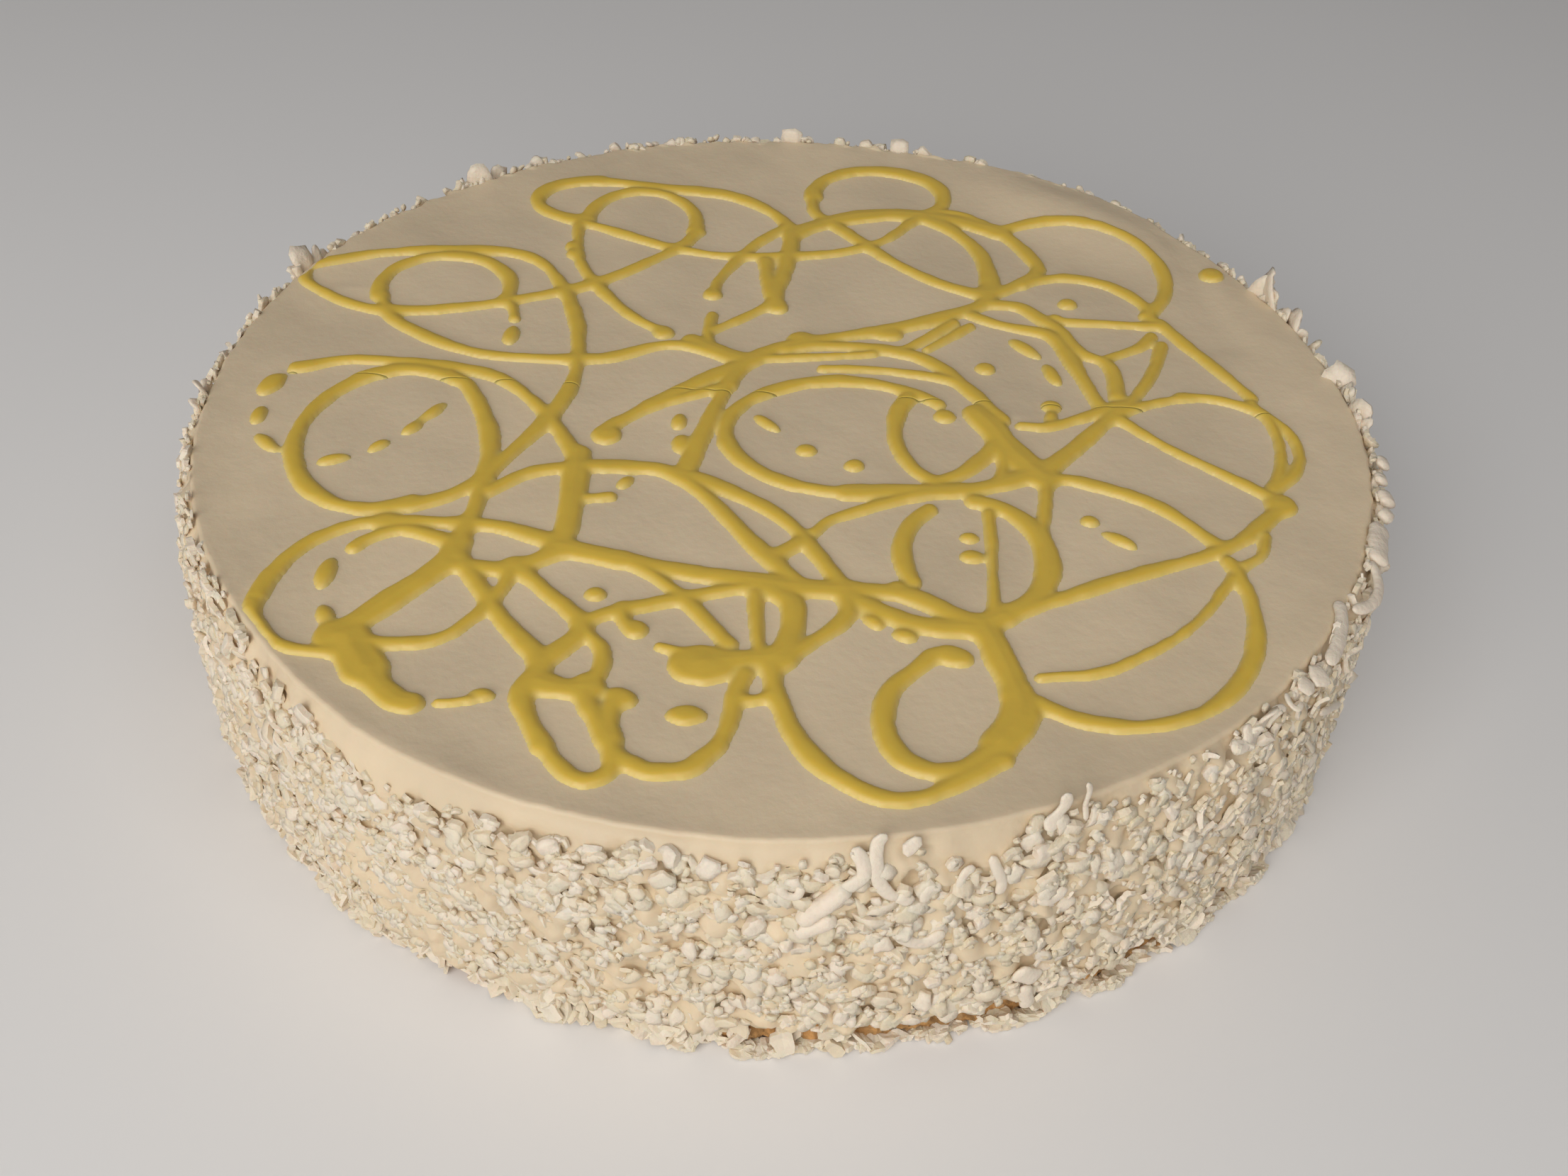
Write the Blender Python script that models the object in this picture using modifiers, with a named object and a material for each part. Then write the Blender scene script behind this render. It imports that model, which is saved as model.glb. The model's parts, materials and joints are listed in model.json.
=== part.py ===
"""An egg liqueur cake, whole and uncut.

A flat disc of nut sponge carries a tall round of whipped cream. White chocolate
shavings are pressed into the side all round, some standing up over the top's edge,
and egg liqueur is drizzled over the top in rings, trails and drops.

Units are metres, +Z is up, and the origin is the middle of the flat underside.
The drizzle is laid out in millimetres on the top, seen from above.
"""

import math
import random

import bmesh
import bpy
from mathutils import Matrix, Vector

MM = 0.001

# Driving dimensions of the cake
TOP_RADIUS = 129.0 * MM
CAKE_HEIGHT = 57.0 * MM
BASE_HEIGHT = 8.0 * MM
BASE_RADIUS = 128.0 * MM
LAYER_GAP = 0.3 * MM
SIDE_BULGE = 1.6 * MM
LIP_WIDTH = 1.6 * MM
TOP_DISH = 0.9 * MM
SEGMENTS = 64

# The shavings at the foot reach this far and none goes past it
REACH_RADIUS = 136.5 * MM

# The swell of cream at the back right, and the shallow fold that runs on from it
SWELL_AZIMUTH = math.radians(52.0)
SWELL_SPREAD = math.radians(15.0)
SWELL_RISE = 2.6 * MM
SWELL_PUSH = 1.8 * MM
SWELL_RADIUS = 119.0 * MM
SWELL_WIDTH = 11.0 * MM

# Shavings
SHAVING_SEED = 57
SIDE_ROWS = 5
SIDE_COLUMNS = 29
FOOT_SHAVINGS = 54
BARE_BAND = 5.5 * MM
CLEARANCE = 0.5 * MM

# Drizzle
TRAIL_STEP = 12.0 * MM
RING_STEP = 6.5 * MM
STRAND_RISE = 0.40
DROP_RISE = 1.7 * MM
STRAND_SINK = 0.15 * MM

# Rings of drizzle: centre x, centre y, half width, half depth, first angle, sweep, strand width
RINGS = (
    (22.5, 98.0, 17.9, 14.6, -40, 222, 4.8),
    (30.0, 58.0, 36.0, 29.0, 48, 100, 5.6),
    (-40.5, 77.5, 14.5, 16.3, -10, 190, 3.8),
    (-54.0, 88.0, 15.5, 10.8, 90, 175, 4.5),
    (-85.5, 40.0, 16.0, 15.0, -15, 215, 3.8),
    (-85.5, -22.0, 20.0, 25.5, 60, 238, 4.0),
    (-79.5, -76.0, 19.5, 24.5, 90, 98, 3.8),
    (14.0, -14.2, 27.0, 20.8, 40, 235, 4.0),
    (38.0, -12.0, 13.5, 19.5, 138, 105, 4.0),
    (39.5, -54.0, 15.0, 18.0, -65, 150, 4.8),
    (39.5, -54.0, 14.5, 17.5, 125, 85, 3.8),
    (21.0, -96.0, 19.0, 22.0, 168, 150, 3.8),
    (64.5, -66.0, 29.0, 34.0, -122, 145, 3.6),
    (94.5, -12.0, 18.7, 18.5, -55, 155, 3.8),
    (69.5, 59.5, 25.8, 26.2, -45, 165, 3.6),
    (70.5, 39.0, 18.7, 18.8, 0, 130, 3.8),
)

# Trails of drizzle: strand width, then the points that it passes through
TRAILS = (
    (3.8, (4.6, 97), (5.5, 87.5), (13, 77.5), (25, 63), (38, 52.3), (50, 49), (62, 58)),
    (4.2, (-54, 98.7), (-40, 97), (-17, 94), (-2, 80), (-1.5, 60), (-4, 44)),
    (3.2, (-60, 77.5), (-30, 64.8), (-2, 63), (20, 70), (33, 86)),
    (3.5, (-25.5, 74), (-31, 64), (-49, 46), (-75, 33), (-100, 28.8), (-118, 38), (-122, 46)),
    (3.2, (-56.5, 78), (-56.5, 70), (-53, 53), (-40, 33), (-30, 24)),
    (3.8, (-121, 47), (-105, 54.5), (-85, 58.2), (-67.5, 56.5), (-57.5, 44.5), (-50.3, 22), (-50, -5),
     (-63, -36)),
    (3.6, (-100.5, 35), (-93, 23), (-72, 11.8), (-46, 11.3), (-28, 18.5), (-11, 14.5)),
    (3.6, (-112, 2), (-98, 6.6), (-69.5, 3.5), (-55, -9), (-45, -25)),
    (4.0, (-77, 2), (-71.5, -3), (-64, -21), (-62.7, -40), (-64, -58)),
    (3.8, (-98.5, -80), (-95, -85), (-84, -88)),
    (4.0, (-80, -51.5), (-60, -51), (-46, -55)),
    (5.2, (-64, -58), (-66.5, -66), (-80, -83), (-77, -90), (-65, -101.5)),
    (4.4, (-63, -62), (-51.5, -79), (-42, -90), (-37, -111), (-31.5, -118), (-28.5, -109), (-34, -93)),
    (4.2, (-52, -63), (-45, -70), (-36.5, -80), (-42.5, -90)),
    (3.4, (-37, -79), (-30, -75), (-14, -69), (-6, -67)),
    (3.4, (-30, -60), (-24, -64.5), (-17.5, -71), (-8.5, -83)),
    (4.0, (-2, -89), (-8.5, -107), (-20, -114.5), (-28, -106), (-29.7, -98), (-37, -79)),
    (5.2, (-43.5, -57), (-43.3, -46), (-44, -25)),
    (4.0, (-61, -40), (-51, -32), (-29, -29), (-18, -36), (-4, -55), (5, -66)),
    (4.0, (-22, -31), (-14, -34.5), (0, -44), (8, -56), (14, -67)),
    (5.0, (-44, -57), (-26, -61), (2, -66), (24, -66.5), (38, -74), (44, -72)),
    (3.6, (44, -72), (72, -57.8), (92, -48), (106, -34)),
    (3.2, (7, -49), (12, -43.5), (30, -34.5), (38, -32.5)),
    (4.6, (14, -35.2), (24, -34), (42, -31.5), (54, -25.5)),
    (5.5, (-1, -67), (3.5, -72), (2.5, -83), (0, -87)),
    (3.8, (14, -68), (13, -75), (3, -86), (0, -89)),
    (7.0, (40, -75), (42, -81), (45, -99), (41.5, -107)),
    (4.0, (36, -83), (31, -84), (22.5, -94.5), (22, -107.5), (32, -112.5), (43, -104)),
    (3.6, (57, -27), (65, -27.5), (79.5, -35), (90, -47.5)),
    (3.0, (76, -4), (86, -15), (104, -30)),
    (8.5, (43, -4), (47, -9), (53, -22), (56, -26)),
    (4.4, (56, -25), (62, -18), (73, -4), (77, 1)),
    (3.0, (78, 1), (85.5, 15), (90, 28)),
    (4.8, (35, 86), (41.5, 81), (48.5, 69.5), (50.3, 54), (49, 47)),
    (4.0, (50, 83), (56.5, 78), (63, 64.5), (62, 58)),
    (3.2, (91, 36.5), (70, 36.8), (65, 38.5)),
    (3.4, (91, 38), (96, 28.5), (104, 14), (107.5, 7)),
    (4.2, (48.5, 50), (47, 43), (30, 32.7), (10, 25), (-5, 18), (-13, 5), (-20.5, -29)),
    (4.2, (50, 44), (57, 43), (64.5, 36), (72, 24.5), (75, 4)),
    (4.0, (45, 38), (52, 34.5), (63.5, 31), (68.7, 16), (73, 0)),
    (3.8, (0, 19.5), (8, 21.5), (24, 21), (36, 14.5), (49, -6)),
    (4.2, (-39, -18), (-37, -13), (-20, 4), (-8, 14)),
    (3.0, (-19, 21), (-18.5, 26), (-8, 36), (-5, 40)),
)

# Drops of drizzle: x, y, length, width, turn in degrees
DROPS = (
    (-116, -5, 9, 5.5, 70),
    (-66, 20, 8, 4.5, 90),
    (-88, -68, 9, 4.5, 88),
    (-81, -86, 10, 9, 0),
    (-39, -18, 7, 7, 0),
    (-13, -87, 13, 10, 0),
    (106, -33, 8, 8, 0),
    (107.5, 61, 6.5, 6.5, 0),
    (56.5, 25, 10, 4, -50),
    (62, 14, 9, 4, -75),
    (36, -5.5, 5.5, 5, 0),
    (3, 24, 7, 6, 0),
    (-14, -101, 8, 5, 5),
)

# Shavings that stand up over the top's edge: azimuth in degrees, length, width, height of the tip
STANDING = (
    (91.0, 7, 6, 60.5),
    (77.0, 7, 5, 60.0),
    (23.0, 13, 7, 65.0),
    (18.0, 9, 7, 61.0),
    (7.0, 8, 7, 61.0),
    (1.0, 9, 6, 60.5),
    (132.0, 11, 7, 61.5),
    (159.0, 11, 5, 62.0),
    (184.0, 8, 5, 60.5),
    (313.0, 9, 5, 60.0),
)

# The long rolled curl at the front: azimuth, middle height, length, diameter, lean from upright
LONG_CURL = (-85.1, 43.0, 23.0, 6.0, 37.0)


def clear_scene():
    """Removes what the scene starts with."""
    for obj in list(bpy.data.objects):
        bpy.data.objects.remove(obj, do_unlink=True)


def new_collection(name, hidden=False):
    """A collection in the scene; a hidden one holds what is joined on and then removed."""
    collection = bpy.data.collections.new(name)
    bpy.context.scene.collection.children.link(collection)
    collection.hide_render = hidden
    return collection


def food_material(name, colour, roughness):
    """A plain Principled material."""
    material = bpy.data.materials.new(name)
    material.use_nodes = True
    shader = material.node_tree.nodes["Principled BSDF"]
    shader.inputs["Base Color"].default_value = (*colour, 1.0)
    shader.inputs["Roughness"].default_value = roughness
    shader.inputs["Metallic"].default_value = 0.0
    return material


def bell(value, middle, spread):
    """A smooth bump of height 1 about the middle."""
    return math.exp(-(((value - middle) / spread) ** 2))


def turn_between(a, b):
    """The smallest angle from b to a."""
    return math.atan2(math.sin(a - b), math.cos(a - b))


def edge_wave(azimuth):
    """How far the hand-spread rim strays from a true circle."""
    return (0.5 * math.sin(3 * azimuth + 0.6) + 0.35 * math.sin(7 * azimuth + 2.0)) * MM


def top_shape(radius, azimuth):
    """Height of the cream's top over the rim height: a shallow dish with a swell at the back right."""
    inside = max(0.0, 1.0 - (radius / (TOP_RADIUS - 3 * LIP_WIDTH)) ** 4)
    turn = turn_between(azimuth, SWELL_AZIMUTH)
    swell = SWELL_RISE * bell(turn, 0.0, SWELL_SPREAD) * bell(radius, SWELL_RADIUS, SWELL_WIDTH)
    fold_turn = turn_between(azimuth, SWELL_AZIMUTH - 2 * SWELL_SPREAD)
    fold = 0.3 * SWELL_RISE * bell(fold_turn, 0.0, SWELL_SPREAD) * bell(radius, SWELL_RADIUS, SWELL_WIDTH)
    waves = 0.2 * MM * math.sin(2 * azimuth + 40 * radius) * (radius / TOP_RADIUS)
    return swell + fold + waves - TOP_DISH * inside


def turned_body(name, profile, material, collection):
    """A profile of (radius, height) points, centre to centre down the outer side, turned about Z."""
    mesh = bpy.data.meshes.new(name)
    points = [(radius, 0.0, height) for radius, height in profile]
    edges = [(i, i + 1) for i in range(len(points) - 1)]
    mesh.from_pydata(points, edges, [])
    body = bpy.data.objects.new(name, mesh)
    collection.objects.link(body)
    body.data.materials.append(material)
    screw = body.modifiers.new("Turn", "SCREW")
    screw.axis = "Z"
    screw.steps = SEGMENTS
    screw.render_steps = SEGMENTS
    screw.use_merge_vertices = True
    screw.merge_threshold = 0.00005
    apply_modifiers(body)
    return body


def apply_modifiers(obj):
    """Makes the evaluated shape the object's own mesh."""
    graph = bpy.context.evaluated_depsgraph_get()
    graph.update()
    mesh = bpy.data.meshes.new_from_object(obj.evaluated_get(graph), depsgraph=graph)
    obj.modifiers.clear()
    obj.data = mesh


def cream_body(material, collection):
    """The cream: a dished top with a narrow lip, and a side that bulges a little towards the foot."""
    bottom = BASE_HEIGHT + LAYER_GAP
    side_height = CAKE_HEIGHT - bottom
    top_radii = (0.0, 35.0, 65.0, 90.0, 104.0, 112.0, 118.0, 123.0)
    profile = [(radius * MM, CAKE_HEIGHT) for radius in top_radii]
    profile.append((TOP_RADIUS - LIP_WIDTH, CAKE_HEIGHT + 0.1 * MM))
    profile.append((TOP_RADIUS, CAKE_HEIGHT - 0.9 * MM))
    for share in (0.12, 0.45, 0.8, 1.0):
        radius = TOP_RADIUS + SIDE_BULGE * math.sin(share * math.pi * 0.62)
        profile.append((radius, CAKE_HEIGHT - share * side_height))
    profile.append((0.0, bottom))
    body = turned_body("cream_cake", profile, material, collection)
    for vertex in body.data.vertices:
        x, y, z = vertex.co
        radius = math.hypot(x, y)
        azimuth = math.atan2(y, x)
        if radius > 0.9 * TOP_RADIUS:
            turn = turn_between(azimuth, SWELL_AZIMUTH)
            height_share = (z - bottom) / side_height
            push = edge_wave(azimuth) + SWELL_PUSH * bell(turn, 0.0, SWELL_SPREAD) * height_share ** 3
            x *= 1.0 + push / radius
            y *= 1.0 + push / radius
        if z > CAKE_HEIGHT - 0.5 * MM:
            z += top_shape(radius, azimuth)
        vertex.co = (x, y, z)
    return body


def sponge_body(material, collection):
    """The sponge base: a flat disc with a slightly crumbly, rounded edge."""
    edge = 1.0 * MM
    profile = [(0.0, BASE_HEIGHT), (BASE_RADIUS - edge, BASE_HEIGHT), (BASE_RADIUS, BASE_HEIGHT - edge)]
    profile.append((BASE_RADIUS + 0.4 * MM, 0.5 * BASE_HEIGHT))
    profile.append((BASE_RADIUS - 0.4 * MM, 0.0))
    profile.append((0.0, 0.0))
    body = turned_body("sponge_base", profile, material, collection)
    for vertex in body.data.vertices:
        x, y, z = vertex.co
        radius = math.hypot(x, y)
        if radius > 0.9 * BASE_RADIUS and z > 0.0:
            push = 0.3 * MM * math.sin(31 * math.atan2(y, x))
            vertex.co = (x * (1 + push / radius), y * (1 + push / radius), z)
    return body


def smooth_path(points, step):
    """Points about a step apart on a Catmull-Rom curve through the given ones."""
    knots = [Vector(point) for point in points]
    knots.insert(0, 2 * knots[0] - knots[1])
    knots.append(2 * knots[-1] - knots[-2])
    path = []
    for i in range(1, len(knots) - 2):
        a, b, c, d = knots[i - 1:i + 3]
        count = max(1, round((c - b).length / step))
        for k in range(count):
            t = k / count
            bend = (2 * a - 5 * b + 4 * c - d) * t ** 2 + (3 * b - a - 3 * c + d) * t ** 3
            path.append(0.5 * (2 * b + (c - a) * t + bend))
    path.append(knots[-2])
    return path


def ring_path(centre_x, centre_y, half_width, half_depth, start, sweep, step):
    """Points about a step apart along an arc of an ellipse, angles in degrees."""
    length = math.radians(sweep) * 0.5 * (half_width + half_depth)
    count = max(4, round(length / step))
    path = []
    for i in range(count + 1):
        angle = math.radians(start + sweep * i / count)
        x = centre_x + half_width * math.cos(angle)
        y = centre_y + half_depth * math.sin(angle)
        path.append(Vector((x, y)))
    return path


def top_height(x, y):
    """Height of the cream's top at a place given in metres."""
    return CAKE_HEIGHT + top_shape(math.hypot(x, y), math.atan2(y, x))


def add_strand(name, path, width, collection):
    """A strand of drizzle along a path in millimetres: a round tube, pressed flat and half sunk."""
    curve = bpy.data.curves.new(name, "CURVE")
    curve.dimensions = "3D"
    curve.twist_mode = "Z_UP"
    curve.fill_mode = "FULL"
    curve.bevel_depth = 0.5 * width * MM
    curve.bevel_resolution = 1 if width > 5 else 0
    curve.use_fill_caps = True
    spline = curve.splines.new("POLY")
    spline.points.add(len(path) - 1)
    for point, place in zip(spline.points, path):
        point.co = (place.x * MM, place.y * MM, 0.0, 1.0)
    tube = bpy.data.objects.new(name, curve)
    collection.objects.link(tube)
    graph = bpy.context.evaluated_depsgraph_get()
    graph.update()
    mesh = bpy.data.meshes.new_from_object(tube.evaluated_get(graph), depsgraph=graph)
    bpy.data.objects.remove(tube, do_unlink=True)
    weld(mesh)
    flatten = 2 * STRAND_RISE
    for vertex in mesh.vertices:
        x, y, z = vertex.co
        vertex.co.z = top_height(x, y) - STRAND_SINK + z * flatten
    strand = bpy.data.objects.new(name, mesh)
    collection.objects.link(strand)


def add_drop(name, x, y, length, width, turn, collection):
    """A drop of drizzle: a low round dome, half sunk."""
    mesh = bpy.data.meshes.new(name)
    shape = bmesh.new()
    bmesh.ops.create_uvsphere(shape, u_segments=8, v_segments=4, radius=0.5)
    shape.to_mesh(mesh)
    shape.free()
    spin = Matrix.Rotation(math.radians(turn), 4, "Z")
    size = Matrix.Diagonal((length * MM, width * MM, 2 * DROP_RISE, 1.0))
    place = Matrix.Translation((x * MM, y * MM, top_height(x * MM, y * MM) - STRAND_SINK))
    mesh.transform(place @ spin @ size)
    collection.objects.link(bpy.data.objects.new(name, mesh))


def weld(mesh):
    """Merges doubled points, such as those round a curve's caps."""
    shape = bmesh.new()
    shape.from_mesh(mesh)
    bmesh.ops.remove_doubles(shape, verts=shape.verts, dist=0.00001)
    shape.to_mesh(mesh)
    shape.free()


def add_drizzle(collection):
    """All rings, trails and drops of the drizzle."""
    for i, (x, y, half_width, half_depth, start, sweep, width) in enumerate(RINGS):
        path = ring_path(x, y, half_width, half_depth, start, sweep, RING_STEP / MM)
        add_strand(f"ring_{i}", path, width, collection)
    for i, (width, *points) in enumerate(TRAILS):
        add_strand(f"trail_{i}", smooth_path(points, TRAIL_STEP / MM), width, collection)
    for i, drop in enumerate(DROPS):
        add_drop(f"drop_{i}", *drop, collection)


def shaving_mesh(name, length, width, thickness, bend, cuts):
    """A flat chip along X, curled up about Y by the bend angle and narrower at its far end."""
    mesh = bpy.data.meshes.new(name)
    shape = bmesh.new()
    bmesh.ops.create_cube(shape, size=1.0)
    if cuts:
        along = [edge for edge in shape.edges if abs(edge.verts[0].co.x - edge.verts[1].co.x) > 0.5]
        bmesh.ops.subdivide_edges(shape, edges=along, cuts=cuts, use_grid_fill=True)
    for vertex in shape.verts:
        x, y, z = vertex.co
        across = y * width * (1.0 - 0.35 * (x + 0.5))
        if abs(bend) > 0.01:
            curl_radius = length / bend
            angle = x * bend
            reach = curl_radius - z * thickness
            vertex.co = (reach * math.sin(angle), across, curl_radius - reach * math.cos(angle))
        else:
            vertex.co = (x * length, across, z * thickness)
    shape.to_mesh(mesh)
    shape.free()
    return mesh


def side_frame(azimuth, height, radius, spin, tilt):
    """Places a shaving on the side: X along the surface at the spin angle, Z outwards, lifted by the tilt."""
    out = Vector((math.cos(azimuth), math.sin(azimuth), 0.0))
    around = Vector((-math.sin(azimuth), math.cos(azimuth), 0.0))
    up = Vector((0.0, 0.0, 1.0))
    along = math.cos(spin) * around + math.sin(spin) * up
    across = out.cross(along)
    frame = Matrix((along, across, out)).transposed().to_4x4()
    place = Matrix.Translation(out * radius + up * height)
    return place @ frame @ Matrix.Rotation(-tilt, 4, "Y")


def fit_between(mesh, lowest, highest):
    """Slides a shaving up or down into its own layer and in from the outer limit. False if it can't fit."""
    heights = [vertex.co.z for vertex in mesh.vertices]
    if max(heights) - min(heights) > highest - lowest:
        return False
    slide = max(0.0, lowest - min(heights)) - max(0.0, max(heights) - highest)
    mesh.transform(Matrix.Translation((0.0, 0.0, slide)))
    far = max(max(abs(vertex.co.x), abs(vertex.co.y)) for vertex in mesh.vertices)
    if far > REACH_RADIUS:
        middle = sum((vertex.co for vertex in mesh.vertices), Vector()) / len(mesh.vertices)
        inwards = -Vector((middle.x, middle.y, 0.0)).normalized()
        mesh.transform(Matrix.Translation(inwards * 1.5 * (far - REACH_RADIUS)))
    return True


def place_shaving(mesh, name, lowest, highest, collection):
    """Keeps a shaving whose place fits its layer."""
    if fit_between(mesh, lowest, highest):
        collection.objects.link(bpy.data.objects.new(name, mesh))


def side_radius(height, azimuth):
    """The cream side's radius at a height."""
    share = (CAKE_HEIGHT - height) / (CAKE_HEIGHT - BASE_HEIGHT)
    return TOP_RADIUS + SIDE_BULGE * math.sin(share * math.pi * 0.62) + edge_wave(azimuth)


def bare_band(azimuth):
    """Depth of the bare cream under the rim: widest at the front left, none at the back right."""
    facing = 0.5 + 0.5 * math.cos(turn_between(azimuth, math.radians(-115.0)))
    return BARE_BAND * facing + 1.0 * MM


def add_side_shavings(rng, collection):
    """The larger chips, ribbons and curls, in shaken rows round the cream's side."""
    low = BASE_HEIGHT + LAYER_GAP + CLEARANCE
    for i in range(SIDE_ROWS * SIDE_COLUMNS):
        column, row = divmod(i, SIDE_ROWS)
        stagger = 0.5 * (row % 2) + rng.uniform(-0.35, 0.35)
        azimuth = 2 * math.pi * (column + stagger) / SIDE_COLUMNS
        high = CAKE_HEIGHT - bare_band(azimuth)
        height = low + (high - low) * (row + 0.5 + rng.uniform(-0.3, 0.3)) / SIDE_ROWS
        length = rng.uniform(7.5, 12.0) * MM
        width = rng.uniform(4.5, 6.5) * MM
        curled = rng.random() < 0.3
        spin = rng.uniform(0.0, math.pi)
        tilt = rng.uniform(0.0, 0.12 if curled else 0.4)
        mesh = shaving_mesh("shaving", length, width, rng.uniform(1.3, 1.9) * MM,
                            rng.uniform(1.2, 2.4) if curled else 0.0, 2 if curled else 0)
        radius = side_radius(height, azimuth) + 0.15 * MM + 0.2 * length * math.sin(tilt)
        mesh.transform(side_frame(azimuth, height, radius, spin, tilt))
        place_shaving(mesh, f"side_shaving_{i}", low, high, collection)


def add_standing_shavings(collection):
    """The shavings whose tips stand over the top's edge."""
    for i, (degrees, length, width, tip) in enumerate(STANDING):
        azimuth = math.radians(degrees)
        height = tip * MM - 0.5 * length * MM
        mesh = shaving_mesh("standing", length * MM, width * MM, 1.4 * MM, 0.5, 1)
        frame = side_frame(azimuth, height, side_radius(height, azimuth) + 0.9 * MM, 0.5 * math.pi, 0.12)
        mesh.transform(frame)
        rise = tip * MM - max(vertex.co.z for vertex in mesh.vertices)
        mesh.transform(Matrix.Translation((0.0, 0.0, rise)))
        collection.objects.link(bpy.data.objects.new(f"standing_{i}", mesh))


def add_long_curl(collection):
    """The long rolled curl, a slim cylinder that lies against the side."""
    degrees, height, length, diameter, lean = LONG_CURL
    mesh = bpy.data.meshes.new("long_curl")
    shape = bmesh.new()
    bmesh.ops.create_cone(shape, cap_ends=True, segments=8, radius1=0.5 * diameter * MM,
                          radius2=0.42 * diameter * MM, depth=length * MM)
    shape.to_mesh(mesh)
    shape.free()
    azimuth = math.radians(degrees)
    radius = side_radius(height * MM, azimuth) + 0.25 * diameter * MM
    lay_down = Matrix.Rotation(0.5 * math.pi, 4, "Y")
    spin = 0.5 * math.pi - math.radians(lean)
    mesh.transform(side_frame(azimuth, height * MM, radius, spin, 0.0) @ lay_down)
    collection.objects.link(bpy.data.objects.new("long_curl", mesh))


def add_foot_shavings(rng, collection):
    """Shavings heaped round the sponge: some lean on its side, some lie on what the cake stands on."""
    low = LAYER_GAP
    high = BASE_HEIGHT - CLEARANCE
    for i in range(FOOT_SHAVINGS):
        azimuth = 2 * math.pi * (i + rng.uniform(-0.3, 0.3)) / FOOT_SHAVINGS
        length = rng.uniform(6.5, 10.5) * MM
        width = rng.uniform(4.0, 6.0) * MM
        mesh = shaving_mesh("foot", length, width, rng.uniform(1.3, 1.9) * MM, 0.0, 0)
        if rng.random() < 0.55:
            spin = rng.uniform(-0.3, 0.3)
            frame = side_frame(azimuth, 4.0 * MM, BASE_RADIUS + 1.2 * MM, spin, rng.uniform(0.1, 0.5))
        else:
            yaw = rng.uniform(-1.0, 1.0)
            middle = BASE_RADIUS + 0.3 * length * math.cos(yaw)
            place = Matrix.Translation((middle * math.cos(azimuth), middle * math.sin(azimuth), 2.5 * MM))
            lean = Matrix.Rotation(rng.uniform(-0.3, 0.3), 4, "Y")
            frame = place @ Matrix.Rotation(azimuth + yaw, 4, "Z") @ lean
        mesh.transform(frame)
        place_shaving(mesh, f"foot_shaving_{i}", low, high, collection)


def add_reach_shavings(collection):
    """Four larger shavings at the foot, one on each side, that lie out to the full reach."""
    for i in range(4):
        azimuth = 0.5 * math.pi * i
        mesh = shaving_mesh("reach", 11.0 * MM, 6.0 * MM, 1.8 * MM, 0.0, 0)
        middle = REACH_RADIUS - 5.5 * MM
        out = Vector((math.cos(azimuth), math.sin(azimuth), 0.0))
        place = Matrix.Translation(out * middle + Vector((0.0, 0.0, 3.0 * MM)))
        mesh.transform(place @ Matrix.Rotation(azimuth, 4, "Z"))
        collection.objects.link(bpy.data.objects.new(f"reach_{i}", mesh))


def join_toppings(body, toppings):
    """One union joins every topping to the body; the toppings' own objects are then removed."""
    union = body.modifiers.new("Join", "BOOLEAN")
    union.operation = "UNION"
    union.operand_type = "COLLECTION"
    union.collection = toppings
    apply_modifiers(body)
    for topping in list(toppings.objects):
        bpy.data.objects.remove(topping, do_unlink=True)
    bpy.data.collections.remove(toppings)
    keep_largest_shell(body)


def keep_largest_shell(body):
    """Drops loose scraps, and fills any hollow that the union sealed in."""
    shape = bmesh.new()
    shape.from_mesh(body.data)
    bmesh.ops.remove_doubles(shape, verts=shape.verts, dist=0.000002)
    unseen = set(shape.verts)
    shells = []
    while unseen:
        front = [unseen.pop()]
        shell = set(front)
        while front:
            for edge in front.pop().link_edges:
                for vertex in edge.verts:
                    if vertex not in shell:
                        shell.add(vertex)
                        unseen.discard(vertex)
                        front.append(vertex)
        shells.append(shell)
    shells.sort(key=len, reverse=True)
    for shell in shells[1:]:
        bmesh.ops.delete(shape, geom=list(shell), context="VERTS")
    shape.to_mesh(body.data)
    shape.free()


def build():
    """The whole cake: sponge base, cream, and what is fused to each."""
    clear_scene()
    rng = random.Random(SHAVING_SEED)
    cake = new_collection("egg_liqueur_cake")
    cream = food_material("cream", (0.78, 0.66, 0.46), 0.5)
    sponge = food_material("nut_sponge", (0.42, 0.24, 0.11), 0.9)

    base = sponge_body(sponge, cake)
    foot_toppings = new_collection("foot_toppings", hidden=True)
    add_foot_shavings(rng, foot_toppings)
    add_reach_shavings(foot_toppings)
    join_toppings(base, foot_toppings)

    body = cream_body(cream, cake)
    toppings = new_collection("cream_toppings", hidden=True)
    add_drizzle(toppings)
    add_side_shavings(rng, toppings)
    add_standing_shavings(toppings)
    add_long_curl(toppings)
    join_toppings(body, toppings)


build()
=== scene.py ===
"""Dresses the egg liqueur cake: cream, sponge, drizzle and white chocolate shavings.

Laid out as an add-on and run as a script. Shapes are worked out in millimetres as whole
arrays, +Z up, and go into the meshes in metres.
"""

import json
import math

import bpy
import numpy as np
from mathutils import Matrix, Vector

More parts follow.
